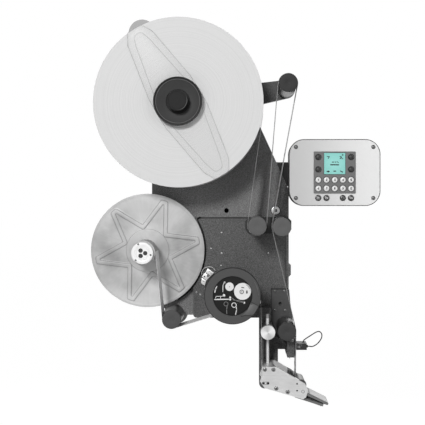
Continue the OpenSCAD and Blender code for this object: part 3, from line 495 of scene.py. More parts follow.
metal("bright_steel", 190, 222, 0.28, (240, 60, 240))
metal("aluminium", 176, 212, 0.38, (60, 400, 500))
metal("dark_steel", 92, 128, 0.34, (900, 60, 900))
for tube in (("roller_metal", 112, 80, 0.5), ("dancer_metal", 112, 28, 0.5),
             ("roller_black", 34, 42, 0.0), ("lower_metal", 46, 64, 0.2)):
    roller_skin(*tube)
# 168 and 176, the tones of the outermost turns, are painted shade on pale paper
roll_paper("roll_side", SUPPLY, ROLL_R * MM, 420, 202, 212, 168, 20)
roll_paper("liner_side", REWIND, LINER_R * MM, 900, 180, 206, 176, 3)
clear_moulding("clear_plastic", 214, 0.06)
# A greyer, more solid copy of the clear plastic: painted shade along the wing's rounded edges
clear_moulding("clear_edge_shade", 128, 0.3)
for own_finish in (bracket_paint, cup_moulding, spun_metal, bare_liner, guard_skin, web_paper,
                   reel_moulding, panel_skin, display_skin):
    own_finish()

# Finish of every solid that shows; pieces stand in for all the others
NODE_FINISHES = {
    "main_plate": "plate_paint_lightened", "front_cover": "frame_paint", "dispensing_beam": "frame_paint",
    "dancer_arm": "arm_paint", "rear_housing": "housing_paint", "panel_shell": "black_paint",
    "pressure_lever": "black_paint", "roller_brackets": "bracket_paint", "fixed_axles": "bright_steel",
    # The beak's rear plate has a pale tone: painted light, for light that hardly reaches between the beak
    # plates
    # The peel bar is steel; its dark steel finish is painted shade under the peel edge
    "peel_bar": "dark_steel", "beak_front_plate": "aluminium", "beak_rear_plate": "painted_light_rear_plate",
    "clamp_knob": "spun_aluminium", "beak_roller": "roller_black", "rewind_hub": "black_plastic",
    "liner_guide": "guide_plastic", "drive_guard": "guard_skin", "label_sensor": "sensor_plastic",
    "panel_face": "panel_light", "display_window": "display_glass", "drive_motor": "motor_paint",
    "supply_hub": "hub_plastic", "drive_roller": "drive_rubber", "pressure_roller": "drive_rubber",
}
for member, finish_name in NODE_FINISHES.items():
    nodes[member].data.materials.clear()
    nodes[member].data.materials.append(finishes[finish_name].material)
cable.data.materials.append(finishes["cable_jacket"].material)
cable.data.shade_smooth()

# Mesh helpers: everything from here on is drawn in millimetres, outlines as (x, z) seen from the front
HERE = (0, 0)


def vert(bm, x, depth, z):
    return bm.verts.new((x * MM, depth * MM, z * MM))


def box_mm(node):
    return [[v / MM for v in corner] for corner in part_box(node)]


def put(name, shape, finish, replaced=(), body="root", sharp=35):
    """A finished piece: shaded, dressed, riding on its body and standing in for the solids it replaces."""
    mesh = to_mesh(name, shape) if isinstance(shape, bmesh.types.BMesh) else shape
    made = bpy.data.objects.new(name, mesh)
    scene.collection.objects.link(made)
    for one in [finish] if isinstance(finish, str) else finish:
        mesh.materials.append(finishes[one].material)
    mesh.shade_smooth()
    mesh.set_sharp_from_angle(angle=math.radians(sharp))
    if body:
        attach(made, body)
    if replaced:
        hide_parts(*replaced)
    return made


def turned(name, centre, face, profile, finish, replaced=(), segments=96, body="root"):
    """Turns (radius, depth behind face) points round an axis; a profile off the axis closes as a ring."""
    bm = bmesh.new()
    rings = [[vert(bm, centre[0] + reach * math.cos(a), face + depth, centre[1] + reach * math.sin(a))
              for a in (circle(segments) if reach else [0.0])] for reach, depth in profile]
    closed = profile[0][0] and profile[-1][0]
    for first, second in zip(rings, rings[1:] + rings[:1] if closed else rings[1:]):
        for k in range(segments):
            n = (k + 1) % segments
            corners = dict.fromkeys((first[k % len(first)], first[n % len(first)],
                                     second[n % len(second)], second[k % len(second)]))
            if len(corners) > 2:
                bm.faces.new(list(corners))
    put(name, bm, finish, replaced, body)


def fillet(corners, radius, steps=6):
    """Outline with each corner rounded; radius is one value or one for each corner."""
    outline = []
    radii = radius if isinstance(radius, (list, tuple)) else [radius] * len(corners)
    for i, corner in enumerate(corners):
        here = Vector(corner)
        back = (Vector(corners[i - 1]) - here).normalized()
        on = (Vector(corners[(i + 1) % len(corners)]) - here).normalized()
        half = back.angle(on) / 2
        if half > math.pi / 2 - 1e-3:
            outline.append(here)
            continue
        centre = here + (back + on).normalized() * radii[i] / math.sin(half)
        start = here + back * radii[i] / math.tan(half) - centre
        end = here + on * radii[i] / math.tan(half) - centre
        turn = start.angle_signed(end)
        outline += [centre + Matrix.Rotation(-turn * k / steps, 2) @ start for k in range(steps + 1)]
    return outline


def rect(left, low, right, top):
    return [(left, low), (right, low), (right, top), (left, top)]


def oblong(x, z, width, height):
    """A slot's outline, round at both ends."""
    return fillet(rect(x - width / 2, z - height / 2, x + width / 2, z + height / 2), height * 0.49, 5)


def around(centre, reach, degrees):
    """Place at a reach and a turn from a centre."""
    turn = math.radians(degrees)
    return Vector((centre[0] + reach * math.cos(turn), centre[1] + reach * math.sin(turn)))


def arc(centre, reach, start, end, steps=16):
    return [around(centre, reach, start + (end - start) * k / steps) for k in range(steps + 1)]


def dot(centre, reach, steps=32):
    return arc(centre, reach, 0, 360, steps)[:-1]


def bars(points, width):
    """A bar's outline for each stretch of a bent line."""
    line = [Vector(p) for p in points]
    sides = [(b - a).normalized().orthogonal() * width / 2 for a, b in zip(line, line[1:])]
    return [[a + s, a - s, b - s, b + s] for a, b, s in zip(line, line[1:], sides)]


def hoop(centre, reach, width, steps=24):
    """A flat ring drawn as a closed bent line."""
    return bars(arc(centre, reach, 0, 360, steps), width)


def strokes(*lines):
    """Outlines of bent lines, each given as its width and points: bars, and a dot at each bend."""
    return [shape for width, *points in lines
            for shape in bars(points, width) + [dot(p, width / 2, 12) for p in points]]


def prism(bm, outline, front, rear, bevel=0.0):
    """A flat piece in the picture plane, from front back to rear, with its front edge rounded."""
    face = bm.faces.new([vert(bm, p[0], front, p[1]) for p in outline])
    made = bmesh.ops.extrude_face_region(bm, geom=[face])
    back = [v for v in made["geom"] if isinstance(v, bmesh.types.BMVert)]
    bmesh.ops.translate(bm, verts=back, vec=(0, (rear - front) * MM, 0))
    if bevel:
        bmesh.ops.bevel(bm, geom=list(face.edges), offset=bevel * MM, segments=2, affect="EDGES", profile=0.6)


# Flat marks stand this far out of the face they are on, and are mostly this deep
MARK_LIFT, MARK_DEPTH = 0.1, 0.4


def flat_set(name, outlines, front, depth, finish, bevel=0.0, body="root", centre=HERE):
    """Several flat shapes of one finish on one face, drawn from a centre, as one piece."""
    bm = bmesh.new()
    for outline in outlines:
        prism(bm, [(p[0] + centre[0], p[1] + centre[1]) for p in outline], front, front + depth, bevel)
    put(name, bm, finish, body=body)


# Web: the rollers that it wraps, each with its radius and its turning sense as the operator sees it
WEB_T, WEB_OFF = 0.3, 0.45
WEB_FRONT, WEB_REAR = -237.5, -182.5
ARM_LENGTH, ARM_LIFT = 196.3, 9.9
DANCER = around(SUPPLY, ARM_LENGTH, ARM_LIFT)
LEFT_GUIDE, RIGHT_GUIDE = (49.6, -13.9), (93.0, -15.5)
GUIDE_R, COLLAR_R = 16.5, 16.9
INFEED, INFEED_R = (102.0, -199.0), 16.0
LOWER_GUIDE = (-100.7, -177.7)
BEAK_ROLLER, PEEL_TIP, RETURN_BAR = (126.0, -292.0), (173.0, -327.0), (65.0, -288.0)
TURN_BAR = (50.0, -147.0)
WRAPS = [(SUPPLY, ROLL_R, -1), (LEFT_GUIDE, GUIDE_R, 1), (DANCER, COLLAR_R, -1), (RIGHT_GUIDE, GUIDE_R, 1),
         (INFEED, INFEED_R, -1), (BEAK_ROLLER, 8.0, 1), (PEEL_TIP, 1.5, -1), (RETURN_BAR, 5.0, -1),
         (TURN_BAR, 6.0, 1), (DRIVE, 25.0, -1), (LOWER_GUIDE, GUIDE_R, -1), (REWIND, 22.0, 1)]


def strand_normal(i):
    """Direction square to the strand from wrap i to the next, on its left."""
    (here, near, sense), (there, far, next_sense) = WRAPS[i], WRAPS[i + 1]
    across = Vector(there) - Vector(here)
    reach = next_sense * (far + WEB_OFF) - sense * (near + WEB_OFF)
    return math.atan2(across.y, across.x) + math.acos(reach / across.length)


def wrap_points(i, before, after, steps=20):
    """Points round wrap i, from the strand before it to the strand after it; None leaves that end open."""
    centre, reach, sense = WRAPS[i]
    flip = math.pi if sense > 0 else 0
    first = strand_normal(before if before is not None else after)
    last = strand_normal(after if after is not None else before)
    sweep = sense * ((sense * (last - first)) % math.tau)
    return [around(centre, reach + WEB_OFF, math.degrees(first + flip + sweep * k / steps))
            for k in range(steps + 1 if sweep else 1)]


def web_line(first, last, lead=False, tail=False):
    line = wrap_points(first, first - 1 if lead else None, first)
    for i in range(first + 1, last):
        line += wrap_points(i, i - 1, i)
    return line + wrap_points(last, last - 1, last if tail else None)


def strip(bm, line, index):
    """A thin closed strip along a line, with a map along and across it in metres."""
    layer = bm.loops.layers.uv.get("strip") or bm.loops.layers.uv.new("strip")
    width = (WEB_REAR - WEB_FRONT) * MM
    gone, rows, spots = 0.0, [], {}
    for i, p in enumerate(line):
        gone += (p - line[i - 1]).length * MM if i else 0.0
        along = (line[min(i + 1, len(line) - 1)] - line[max(i - 1, 0)]).normalized()
        side = Vector((-along.y, along.x)) * WEB_T / 2
        corners = [(p + side, WEB_FRONT), (p + side, WEB_REAR), (p - side, WEB_REAR), (p - side, WEB_FRONT)]
        rows.append([vert(bm, q.x, y, q.y) for q, y in corners])
        spots.update(zip(rows[-1], [(gone, across) for across in (0.0, width, width, 0.0)]))
    join_rows(bm, rows, [index] * len(rows))
    for corner, spot in spots.items():
        for loop in corner.link_loops:
            loop[layer].uv = spot
    for row in (rows[0], rows[-1]):
        bm.faces.new(row).material_index = index


def web_piece(name, labelled, bare, replaced, body=None):
    """Strips with labels on them and strips of bare backing, as one piece."""
    bm = bmesh.new()
    for index, lines in enumerate((labelled, bare)):
        for line in lines:
            strip(bm, line, index)
    return put(name, to_mesh(name, bm, weld=False), ["paper", "bare_liner"], [replaced], body)


web_piece("web_runs", [web_line(0, 1, tail=True), web_line(3, 4, lead=True, tail=True)],
          [web_line(8, 11, lead=True)], "fixed_web", "root")
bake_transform(web_piece("web_loop", [web_line(1, 3)], [], "loop_web"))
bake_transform(web_piece("web_beak", [web_line(4, 6)], [web_line(6, 8, lead=True)], "beak_web"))


# Screws: one unit screw, set on points that carry their own head size, all by one node tree
def screw_tree():
    """Unit button head with a six-sided socket, put on every point and scaled by its head size."""
    tree = bpy.data.node_groups.new("screw_set", "GeometryNodeTree")
    for name, way, kind in (("Points", "INPUT", "Geometry"), ("Facing", "INPUT", "Rotation"),
                            ("Head Finish", "INPUT", "Material"), ("Socket Finish", "INPUT", "Material"),
                            ("Screws", "OUTPUT", "Geometry")):
        tree.interface.new_socket(name, in_out=way, socket_type=f"NodeSocket{kind}")
    screw = Nodes(tree)

    def given(name):
        return screw.node("NodeGroupInput", output=name)

    def cone(low, top, depth):
        return screw.node("GeometryNodeMeshCone", {}, {
            "Vertices": 32, "Radius Top": top, "Radius Bottom": low, "Depth": depth})

    def lifted(part, height):
        return screw.node("GeometryNodeTransform", {}, {"Geometry": part, "Translation": (0, 0, height)})

    def join(*parts):
        made = screw.node("GeometryNodeJoinGeometry")
        for part in parts:
            screw.plug(made.output.node.inputs[0], part)
        return made

    def dressed(part, finish):
        return screw.node("GeometryNodeSetMaterial", {}, {"Geometry": part, "Material": given(finish)})

    head = dressed(join(lifted(cone(0.86, 0.58, 0.18), 0.34), cone(1.0, 0.86, 0.34)), "Head Finish")
    socket = screw.node("GeometryNodeMeshCylinder", {}, {"Vertices": 6, "Radius": 0.42, "Depth": 0.04})
    spread = screw.node("GeometryNodeInstanceOnPoints", {}, {
        "Points": screw.node("GeometryNodeMeshToPoints", {}, {"Mesh": given("Points")}),
        "Instance": join(dressed(lifted(socket, 0.52), "Socket Finish"), head), "Rotation": given("Facing"),
        "Scale": screw.node("GeometryNodeInputNamedAttribute", {}, {"Name": "head"})})
    real = screw.node("GeometryNodeRealizeInstances", {}, {"Geometry": spread})
    screw.node("NodeGroupOutput", {}, {"Screws": real})
    return tree


SCREWS = screw_tree()
QUARTER = math.pi / 2
FORWARD, BACKWARD = (QUARTER, 0.0, 0.0), (-QUARTER, 0.0, 0.0)
LEFTWARD, RIGHTWARD = (0.0, -QUARTER, 0.0), (0.0, QUARTER, 0.0)


def screw_set(name, spots, size, head="dark_steel", facing=FORWARD, body="root"):
    """Screws of one head size at (x, y, z) spots, all looking one way."""
    points = bpy.data.meshes.new(name + "_points")
    points.from_pydata([Vector(s) * MM for s in spots], [], [])
    points.attributes.new("head", "FLOAT", "POINT").data.foreach_set("value", [size * MM] * len(spots))
    carrier = bpy.data.objects.new(name + "_points", points)
    scene.collection.objects.link(carrier)
    modifier = carrier.modifiers.new("screws", "NODES")
    modifier.node_group = SCREWS
    inputs = {item.name: item.identifier for item in SCREWS.interface.items_tree if item.in_out == "INPUT"}
    modifier[inputs["Facing"]] = facing
    modifier[inputs["Head Finish"]] = finishes[head].material
    modifier[inputs["Socket Finish"]] = finishes["socket_dark"].material
    mesh = bpy.data.meshes.new_from_object(carrier.evaluated_get(bpy.context.evaluated_depsgraph_get()))
    bpy.data.objects.remove(carrier)
    mesh.name = name
    put(name, mesh, [], body=body, sharp=40)


def level(places, depth):
    """Places in the picture plane, at one depth."""
    return [(x, depth, z) for x, z in places]


BRACKET_Y = -152.0
COVER_SCREWS = [(-15.5, -28.6), (-35.0, -58.3), (-15.2, -66.7), (71.5, -66.7), (-16.5, -89.9),
                (-62.0, -139.7), (-55.1, -143.4)]
BRACKET_SCREWS = [(INFEED[0] + x, INFEED[1] + z) for x, z in
                  ((-18.3, 62.5), (-1.7, 62.5), (-18.7, 27.0), (0.1, 27.0))]
PANEL_W, PANEL_H, PANEL_CORNER = 163.0, 119.0, 27.0
PANEL_SCREWS = [(PANEL[0] + side * (PANEL_W / 2 - 12.5), PANEL[1] + end * (PANEL_H / 2 - 14.0))
                for side in (-1, 1) for end in (-1, 1)]
screw_set("front_screws", level(COVER_SCREWS, COVER_Y), 1.6, "bright_steel")
screw_set("bracket_screws", level(BRACKET_SCREWS, BRACKET_Y), 2.3)
screw_set("panel_screws", level(PANEL_SCREWS, PANEL_Y), 2.8)

# Socket screw low on the plate: a washer, a turned head with a painted highlight ring, a six-sided socket, a
# dark seat
SOCKET_SCREW = (85.2, 12.2)
turned("socket_screw", SOCKET_SCREW, PLATE_Y, [
    (3.4, -4.0), (3.4, -6.6), (5.0, -6.6), (5.4, -5.0), (6.0, -3.0), (7.6, -2.8), (7.8, 0), (3.4, 0)],
    "bright_steel", ["screws"], 48)
for name, shapes, lift, depth, slot, ink in (
        ("socket_screw_hex", [dot(HERE, 4.0, 6)], 5.2, 2.0, "bright_steel", "ink_grey"),
        # Painted highlight: a white ring on the head's chamfer
        ("socket_screw_highlight", hoop(HERE, 5.6, 1.5), 5.2, 0.8, "bright_steel", "ink_white"),
        ("socket_screw_seat", hoop(HERE, 8.3, 2.0), 0.2, 0.6, "frame_paint", "ink_black")):
    flat_set(name, shapes, PLATE_Y - lift, depth, ink, centre=SOCKET_SCREW)


# Wound paper: each layer stands a little more or less proud than the next
ROLL_FRONT, ROLL_REAR = -239.5, -180.5


def wound_roll(name, centre, inner, outer, layers, front, rear, proud, body, finish, node):
    rings = [inner + (outer - inner) * k / layers for k in range(layers + 1)]
    lift = [proud * (0.5 + 0.5 * math.sin(7.3 * k) * math.cos(2.9 * k + 1)) for k in range(layers + 1)]
    face = list(zip(rings, lift))
    back = [(r, rear - front - h) for r, h in face]
    edge = [(outer - proud, face[-1][1]), (outer, face[-1][1] + proud),
            (outer, back[-1][1] - proud), (outer - proud, back[-1][1])]
    turned(name, centre, front, face[:-1] + edge + back[-2::-1], finish, [node], 160, body)


wound_roll("roll_of_labels", SUPPLY, 38.5, ROLL_R, 70, ROLL_FRONT, ROLL_REAR, 0.2, "supply", "roll_side",
           "label_roll")
wound_roll("wound_liner", REWIND, 18.8, LINER_R, 6, WEB_FRONT, WEB_REAR, 0.3, "rewind", "liner_side",
           "waste_wrap")

# Clear front wing: a slab with a rounded edge and a raised middle, across the whole roll
WING_TURN = math.radians(-59)
WING_REACH, WING_WIDE, WING_ROOT, WING_SHOULDER = 151.0, 25.5, 43.5, 20.0
WING_FRONT, WING_REAR = -243.0, -240.0


def wing_outline(inset):
    """Outline along both arms, inset from the edge; wide at the hub, rounded and flattened at the ends."""
    tip, wide, root = WING_REACH - inset, WING_WIDE - inset, WING_ROOT - inset
    side = [(tip, wide * 0.55), (tip - WING_SHOULDER, wide), (30.0, root - 1.0), (0.0, root)]
    half = side + [(-x, z) for x, z in side[-2::-1]]
    corners = half + [(-x, -z) for x, z in half]
    radii = [8, 12, 20, 20, 20, 12, 8] * 2
    turn = Matrix.Rotation(WING_TURN, 2)
    return [turn @ p + Vector(SUPPLY) for p in fillet(corners, radii, 10)]


def clear_wing():
    """One closed skin: rear edge, rounded front edge, flat border, step up to the raised middle."""
    bm = bmesh.new()
    border = WING_FRONT + 0.6
    rows = [[vert(bm, p.x, depth, p.y) for p in wing_outline(inset)] for inset, depth in (
        (0.0, WING_REAR), (0.0, border + 1.0), (0.3, border + 0.3), (1.0, border), (11.0, border),
        (11.4, WING_FRONT + 0.1), (12.0, WING_FRONT))]
    # Edge faces take the greyer copy of the clear plastic: painted shade
    flat, edge = 0, 1
    join_rows(bm, rows, (edge, edge, edge, flat, edge, edge))
    bm.faces.new(rows[0])
    bm.faces.new(rows[-1])
    put("clear_wing", bm, ["clear_plastic", "clear_edge_shade"], ["front_wing"], "supply")


clear_wing()

# Dished hub flange with its turning knob, both in one black moulding
DISH_RIM = -257.0
turned("hub_cup", SUPPLY, DISH_RIM, [
    (0, 14.0), (30.0, 14.0), (42.5, 3.0), (42.9, 1.0), (42.4, 0), (40.0, 0.2), (38.8, 0.8), (38.2, 1.4),
    (37.6, 3.0), (30.0, 7.5), (21.6, 9.5), (20.6, 10.8), (18.6, 10.8), (18.2, -9.8), (17.8, -11.2),
    (17.0, -11.9), (15.4, -11.9), (15.1, -11.5), (14.8, -11.9), (0, -11.9)],
    "cup_plastic", ["hub_dish"], 128, "supply")

# Rewind reel sheet: a pressed disc whose ribs run out and back as six petals
REEL_REAR, REEL_RIB = -149.0, 1.4
REEL_R, REEL_INNER = 104.9, 18.8
REEL_RINGS, REEL_TURNS = 110, 360
RIB_TIP, RIB_ROOT, RIB_HALF, TIP_HALF = 93.5, 43.5, 3.8, 3.6


def smooth(value, low, high):
    t = min(max((value - low) / (high - low), 0.0), 1.0)
    return t * t * (3 - 2 * t)


def distance(spot, start, end):
    """Distance from a straight piece of a rib's middle line."""
    along = end - start
    share = min(max((spot - start).dot(along) / along.length_squared, 0.0), 1.0)
    return (spot - start - share * along).length


def reel_height(reach, turn):
    """Share of the rib height at a place on the sheet: ribs in a zigzag, a low rim, a ring round the hub."""
    step = math.pi / 3
    part = (turn - PETAL_TURN) % step
    part = min(part, step - part)
    spot = Vector((reach * math.cos(part), reach * math.sin(part)))
    tip = Vector((RIB_TIP, TIP_HALF))
    root = RIB_ROOT * Vector((math.cos(step / 2), math.sin(step / 2)))
    away = min(distance(spot, tip, root), distance(spot, tip, Vector((RIB_TIP, 0.0))))
    rib = 1 - smooth(away, RIB_HALF - 1.0, RIB_HALF + 0.6)
    rim = 0.15 * smooth(reach, 100.0, 101.2)
    hub = 1 - smooth(reach, 39.0, 40.2)
    return max(rib * smooth(reach, 36.0, 40.0), rim, hub)


def reel_sheet():
    bm = bmesh.new()
    reaches = [REEL_INNER + (REEL_R - REEL_INNER) * k / REEL_RINGS for k in range(REEL_RINGS + 1)]

    def ring(reach, depth):
        return [vert(bm, REWIND[0] + reach * math.cos(a), depth(reach, a), REWIND[1] + reach * math.sin(a))
                for a in circle(REEL_TURNS)]

    front = [ring(reach, lambda r, a: REEL_FRONT - REEL_RIB * reel_height(r, a)) for reach in reaches]
    inner, outer = (ring(reach, lambda r, a: REEL_REAR) for reach in (REEL_INNER, REEL_R))
    join_rows(bm, [inner] + front + [outer, inner])
    put("reel_sheet", bm, "reel_plastic", ["rewind_flange"], "rewind", sharp=60)


reel_sheet()

# White cap on the rewind hub: ringed disc, three dark sockets round a Y, three small screws
CAP_FACE = -247.0
turned("hub_cap", REWIND, CAP_FACE, [
    (0, 1.2), (10.0, 1.2), (10.8, 0.6), (11.8, 1.2), (13.0, 0.4), (14.0, 0), (18.0, 0), (19.0, 0.6),
    (19.3, 1.8), (19.3, 4.0), (0, 4.0)], "white_plastic", ["rewind_cap"], body="rewind")
flat_set("cap_sockets", [dot(around(HERE, 5.4, a), 3.9, 24) for a in (0, 120, 240)], CAP_FACE + 1.0, 0.3,
         "socket_dark", body="rewind", centre=REWIND)
CAP_SCREWS = [(17.0, 113), (15.2, -11), (16.8, 228)]
screw_set("cap_screws", level([around(REWIND, reach, a) for reach, a in CAP_SCREWS], CAP_FACE), 1.8,
          body="rewind")


# Rollers: a turned tube, a cap with a rounded edge and a fine groove behind it, a bore at the rear
def roller(piece, centre, reach, body, finish):
    edge, groove, cap, bore, bore_depth = 1.2, 0.7, 3.6, 4.2, 6.0
    low, high = box_mm(f"{piece}_roller")
    back = high[1] - low[1] - 0.3
    turned(f"{piece}_tube", centre, low[1], [
        (0, 0.3), (reach * 0.2, 0.3), (reach * 0.24, 0), (reach - edge * 1.6, 0),
        (reach - edge * 0.5, edge * 0.3), (reach, edge), (reach, cap), (reach - groove, cap + 0.3),
        (reach - groove, cap + 1.0), (reach, cap + 1.3), (reach, back - 1.0), (reach - 1.0, back),
        (bore, back), (bore, back - bore_depth), (0, back - bore_depth)],
        finish, [f"{piece}_roller"], 72, body)


roller("left_guide", LEFT_GUIDE, GUIDE_R, "left_guide", "roller_metal")
roller("right_guide", RIGHT_GUIDE, GUIDE_R, "right_guide", "roller_metal")
roller("dancer", DANCER, GUIDE_R, "dancer_roller", "dancer_metal")
roller("infeed", INFEED, INFEED_R, "infeed", "roller_black")
roller("lower_guide", LOWER_GUIDE, GUIDE_R, "lower_guide", "lower_metal")
COLLAR_Y = -162.0
turned("dancer_collar", DANCER, COLLAR_Y, [
    (12.0, 0), (16.6, 0), (COLLAR_R, 0.5), (COLLAR_R, 7.5), (16.6, 8.0), (12.0, 8.0)],
    "black_plastic", segments=64, body="dancer_roller")

# Drive guard: a rounded ring on its front, a sight window at the right, the diagram on its disc
GUARD_DISC = 3.0
turned("guard_ring", DRIVE, FRONT_Y, [
    (35.0, GUARD_DISC), (35.0, 0.6), (35.8, -0.2), (48.4, -0.2), (49.4, 0.8), (49.4, GUARD_DISC)],
    "guard_skin", segments=128)
WINDOW = arc(HERE, 46.0, 32, -16) + arc((-27, 8), 62.5, -22, 14)
WEDGE = [(32.8, -10), (45.5, -17), (37.5, -31.5), (15.5, -35.5), (26, -25)]
BIG_REEL, SMALL_REEL = (17.4, 7.9), (-5.4, 16.1)
BIG_HUB = (16.0, 7.1)
INK = 0.3
for name, shapes, front, depth, ink, bevel in (
        ("guard_window", [WINDOW], -0.6, 2.0, "ink_window", 0.0),
        ("guard_window_line", strokes((0.7, *arc(HERE, 45.4, 32, 2))), -0.9, 0.5, "ink_grey", 0.0),
        ("guard_wedge", [WEDGE], -0.5, 2.0, "wedge_skin", 0.4),
        ("guard_slots",
         strokes((1.2, (15, -35.6), (22, -33.6), (33, -34.4)), (1.1, (33, -10.5), (46, -17.5))),
         -1.1, 0.5, "ink_black", 0.0),
        ("diagram_white",
         [dot(BIG_REEL, 14.9, 48), dot(SMALL_REEL, 7.5), dot((-14.2, 23.7), 1.5), dot((-15.1, 0.9), 2.3),
          dot((-4.2, -2.6), 1.7), dot((-4.2, -6.3), 1.7), dot((20.5, -11.9), 1.7)]
         + strokes((1.1, (-14.2, 23.7), (-16.8, 19.3), (-17.2, 7)),
                   (1.6, (-27.7, 16.7), (-30.2, 11.5), (-31.2, 6.1)),
                   (0.9, (-30.5, -4.0), (-28.6, -0.8), (-15, -0.5)), (0.9, (-21.2, -0.9), (-21.2, -5.6)),
                   (1.8, (-31.7, -6.3), (-6, -5.8)), (1.3, (6.2, -18.4), (7.0, -24), (5.1, -33)))
         + hoop((2.5, -16.1), 4.0, 1.2), GUARD_DISC - 0.2, INK, "ink_white", 0.0),
        ("diagram_grey",
         strokes((1.3, (-9.4, -17.2), (-10.6, -24), (-10.0, -31.6)),
                 (1.1, (-1.4, -3.6), (5.5, -8), (12.8, -8.2), (19.8, -11.6)),
                 (1.0, (0.4, -6.4), (10.8, -10), (19.4, -12)), (0.7, *arc(BIG_REEL, 13.2, 20, 62)))
         + hoop((-11.6, -14.0), 3.6, 1.0) + hoop(BIG_HUB, 3.2, 1.6)
         + [dot(BIG_HUB, 1.0), dot(SMALL_REEL, 0.8)], GUARD_DISC - 0.4, INK, "ink_grey", 0.0),
        ("diagram_black", [[(15.2, 15.9), (19.2, 15.2), (21.2, 13.6), (15.4, 14.0)],
                           [(24.0, 9.2), (26.0, 9.8), (26.4, 4.6), (23.6, 4.0)]],
         GUARD_DISC - 0.4, INK, "ink_black", 0.0)):
    flat_set(name, shapes, FRONT_Y + front, depth, ink, bevel, centre=DRIVE)

# Latch beside the guard: hasp plates on a pin, holes in them, and a wire bail over the top
LATCH_Y = -150.0
flat_set("latch_plates", [fillet(corners, 0.9, 4) for corners in (
    [(-40.8, -94.8), (-28.9, -103.2), (-34.9, -109.6), (-45.2, -102.3)],
    [(-46.0, -102.8), (-35.8, -110.2), (-42.6, -117.4), (-52.2, -110.8)],
    [(-52.2, -111.8), (-42.8, -117.8), (-46.3, -127.2), (-53.2, -122.6)])],
    LATCH_Y, 4.0, "bright_steel", 0.6)
turned("latch_pin", (-40.4, -108.3), LATCH_Y, [(0, -1.2), (1.8, -1.2), (2.6, -0.6), (2.7, 3.0), (0, 3.0)],
       "dark_steel", segments=32)
flat_set("latch_holes", [dot((-47.0, -110.2), 1.4), dot((-34.6, -103.2), 0.8)]
         + strokes((1.0, (-47.4, -119.6), (-50.2, -117.8)), (0.8, (-36.4, -100.6), (-39.4, -99.2))),
         LATCH_Y - 0.3, 0.6, "socket_dark")
BAIL = [(-52.4, -106.2), (-51.8, -101.5), (-49.6, -97.0), (-45.6, -93.6), (-40.4, -92.2), (-34.6, -92.6),
        (-30.0, -95.2), (-26.8, -99.4)]
bail_line = smooth_line([Vector(spot) * MM for spot in level(BAIL, LATCH_Y + 2.0)], 5)
BAIL_R = 0.8
put("latch_bail", wire(bmesh.new(), bail_line, BAIL_R * MM), "bright_steel", ["latch_clip"])

# Panel keys: domed caps with a skirt behind the panel, a dark gap round each, and their marks: print on the
# number and function keys, a painted highlight on the soft keys
BEZEL_Y = -218.0
DIGITS = [
    [(-1, -1.6), (1, -1.6), (1, 1.6), (-1, 1.6), (-1, -1.6)],
    [(-0.8, 1.0), (0.1, 1.6), (0.1, -1.6)],
    [(-1, 1.2), (0, 1.6), (1, 1.0), (-1, -1.6), (1, -1.6)],
    [(-1, 1.6), (1, 1.6), (0, 0.2), (1, -0.6), (0.4, -1.6), (-1, -1.4)],
    [(0.5, -1.6), (0.5, 1.6), (-1, -0.6), (1.1, -0.6)],
    [(1, 1.6), (-1, 1.6), (-1, 0.2), (0.6, 0.2), (1, -0.7), (0.4, -1.6), (-1, -1.4)],
    [(0.8, 1.6), (-0.6, 0.8), (-1, -0.8), (0, -1.6), (1, -0.8), (0, 0), (-0.8, -0.3)],
    [(-1, 1.6), (1, 1.6), (-0.2, -1.6)],
    [(0, 0.1), (-0.9, 0.9), (0, 1.6), (0.9, 0.9), (0, 0.1), (-1, -0.8), (0, -1.6), (1, -0.8), (0, 0.1)],
    [(-0.8, -1.6), (0.6, -0.8), (1, 0.8), (0, 1.6), (-1, 0.8), (0, 0), (0.9, 0.3)]]
SYMBOLS = [
    [[(-1.8, -1.5), (-1.8, 1.5), (1.6, 1.0), (-1.6, 0.2)], [(0.2, -1.4), (1.8, -1.4)]],
    [[(-1.6, -1.5), (-1.6, 1.5), (0.4, 1.5), (0.4, 0.1), (-1.6, 0.1)], [(1.2, -1.6), (1.8, 1.2)]],
    [arc(HERE, 2.0, 50, 310, 10)],
    [[(-2.4, 0), (2.4, 0)], [(-1.2, 1.2), (-2.4, 0), (-1.2, -1.2)], [(1.2, 1.2), (2.4, 0), (1.2, -1.2)]]]


def key_cap(node, reach, finish, lines, ink, width=0.9):
    """A domed key over its solid, with its own mark riding on it."""
    low, high = box_mm(node)
    centre = ((low[0] + high[0]) / 2, (low[2] + high[2]) / 2)
    top, rear, skirt = low[1], high[1] - low[1], (high[0] - low[0]) / 2
    turned(f"{node}_cap", centre, top, [
        (0, 0), (reach * 0.45, 0.1), (reach * 0.74, 0.4), (reach * 0.92, 1.0), (reach, 2.0),
        (reach, rear - 1.4), (skirt, rear - 1.4), (skirt, rear), (0, rear)], finish, [node], 40, node)
    flat_set(f"{node}_mark", strokes(*((width, *line) for line in lines)), top - MARK_LIFT, 0.6, ink,
             body=node, centre=centre)
    return hoop(centre, reach + 0.5, 0.9)


key_gaps = []
for n, line in enumerate(DIGITS):
    key_gaps += key_cap(f"number_key_{n}", 5.2, "silver_key", [line], "ink_black")
for n, lines in enumerate(SYMBOLS, 1):
    # The soft keys' marks are grey crescents on their right: painted highlights, not print
    key_gaps += key_cap(f"soft_key_{n}", 4.8, "soft_key", [arc(HERE, 3.9, -65, 60, 8)],
                        "ink_grey")
    key_cap(f"function_key_{n}", 5.5, "dark_key", lines, "ink_white", 1.2)
flat_set("key_gaps", key_gaps, BEZEL_Y - MARK_LIFT, MARK_DEPTH, "ink_black")

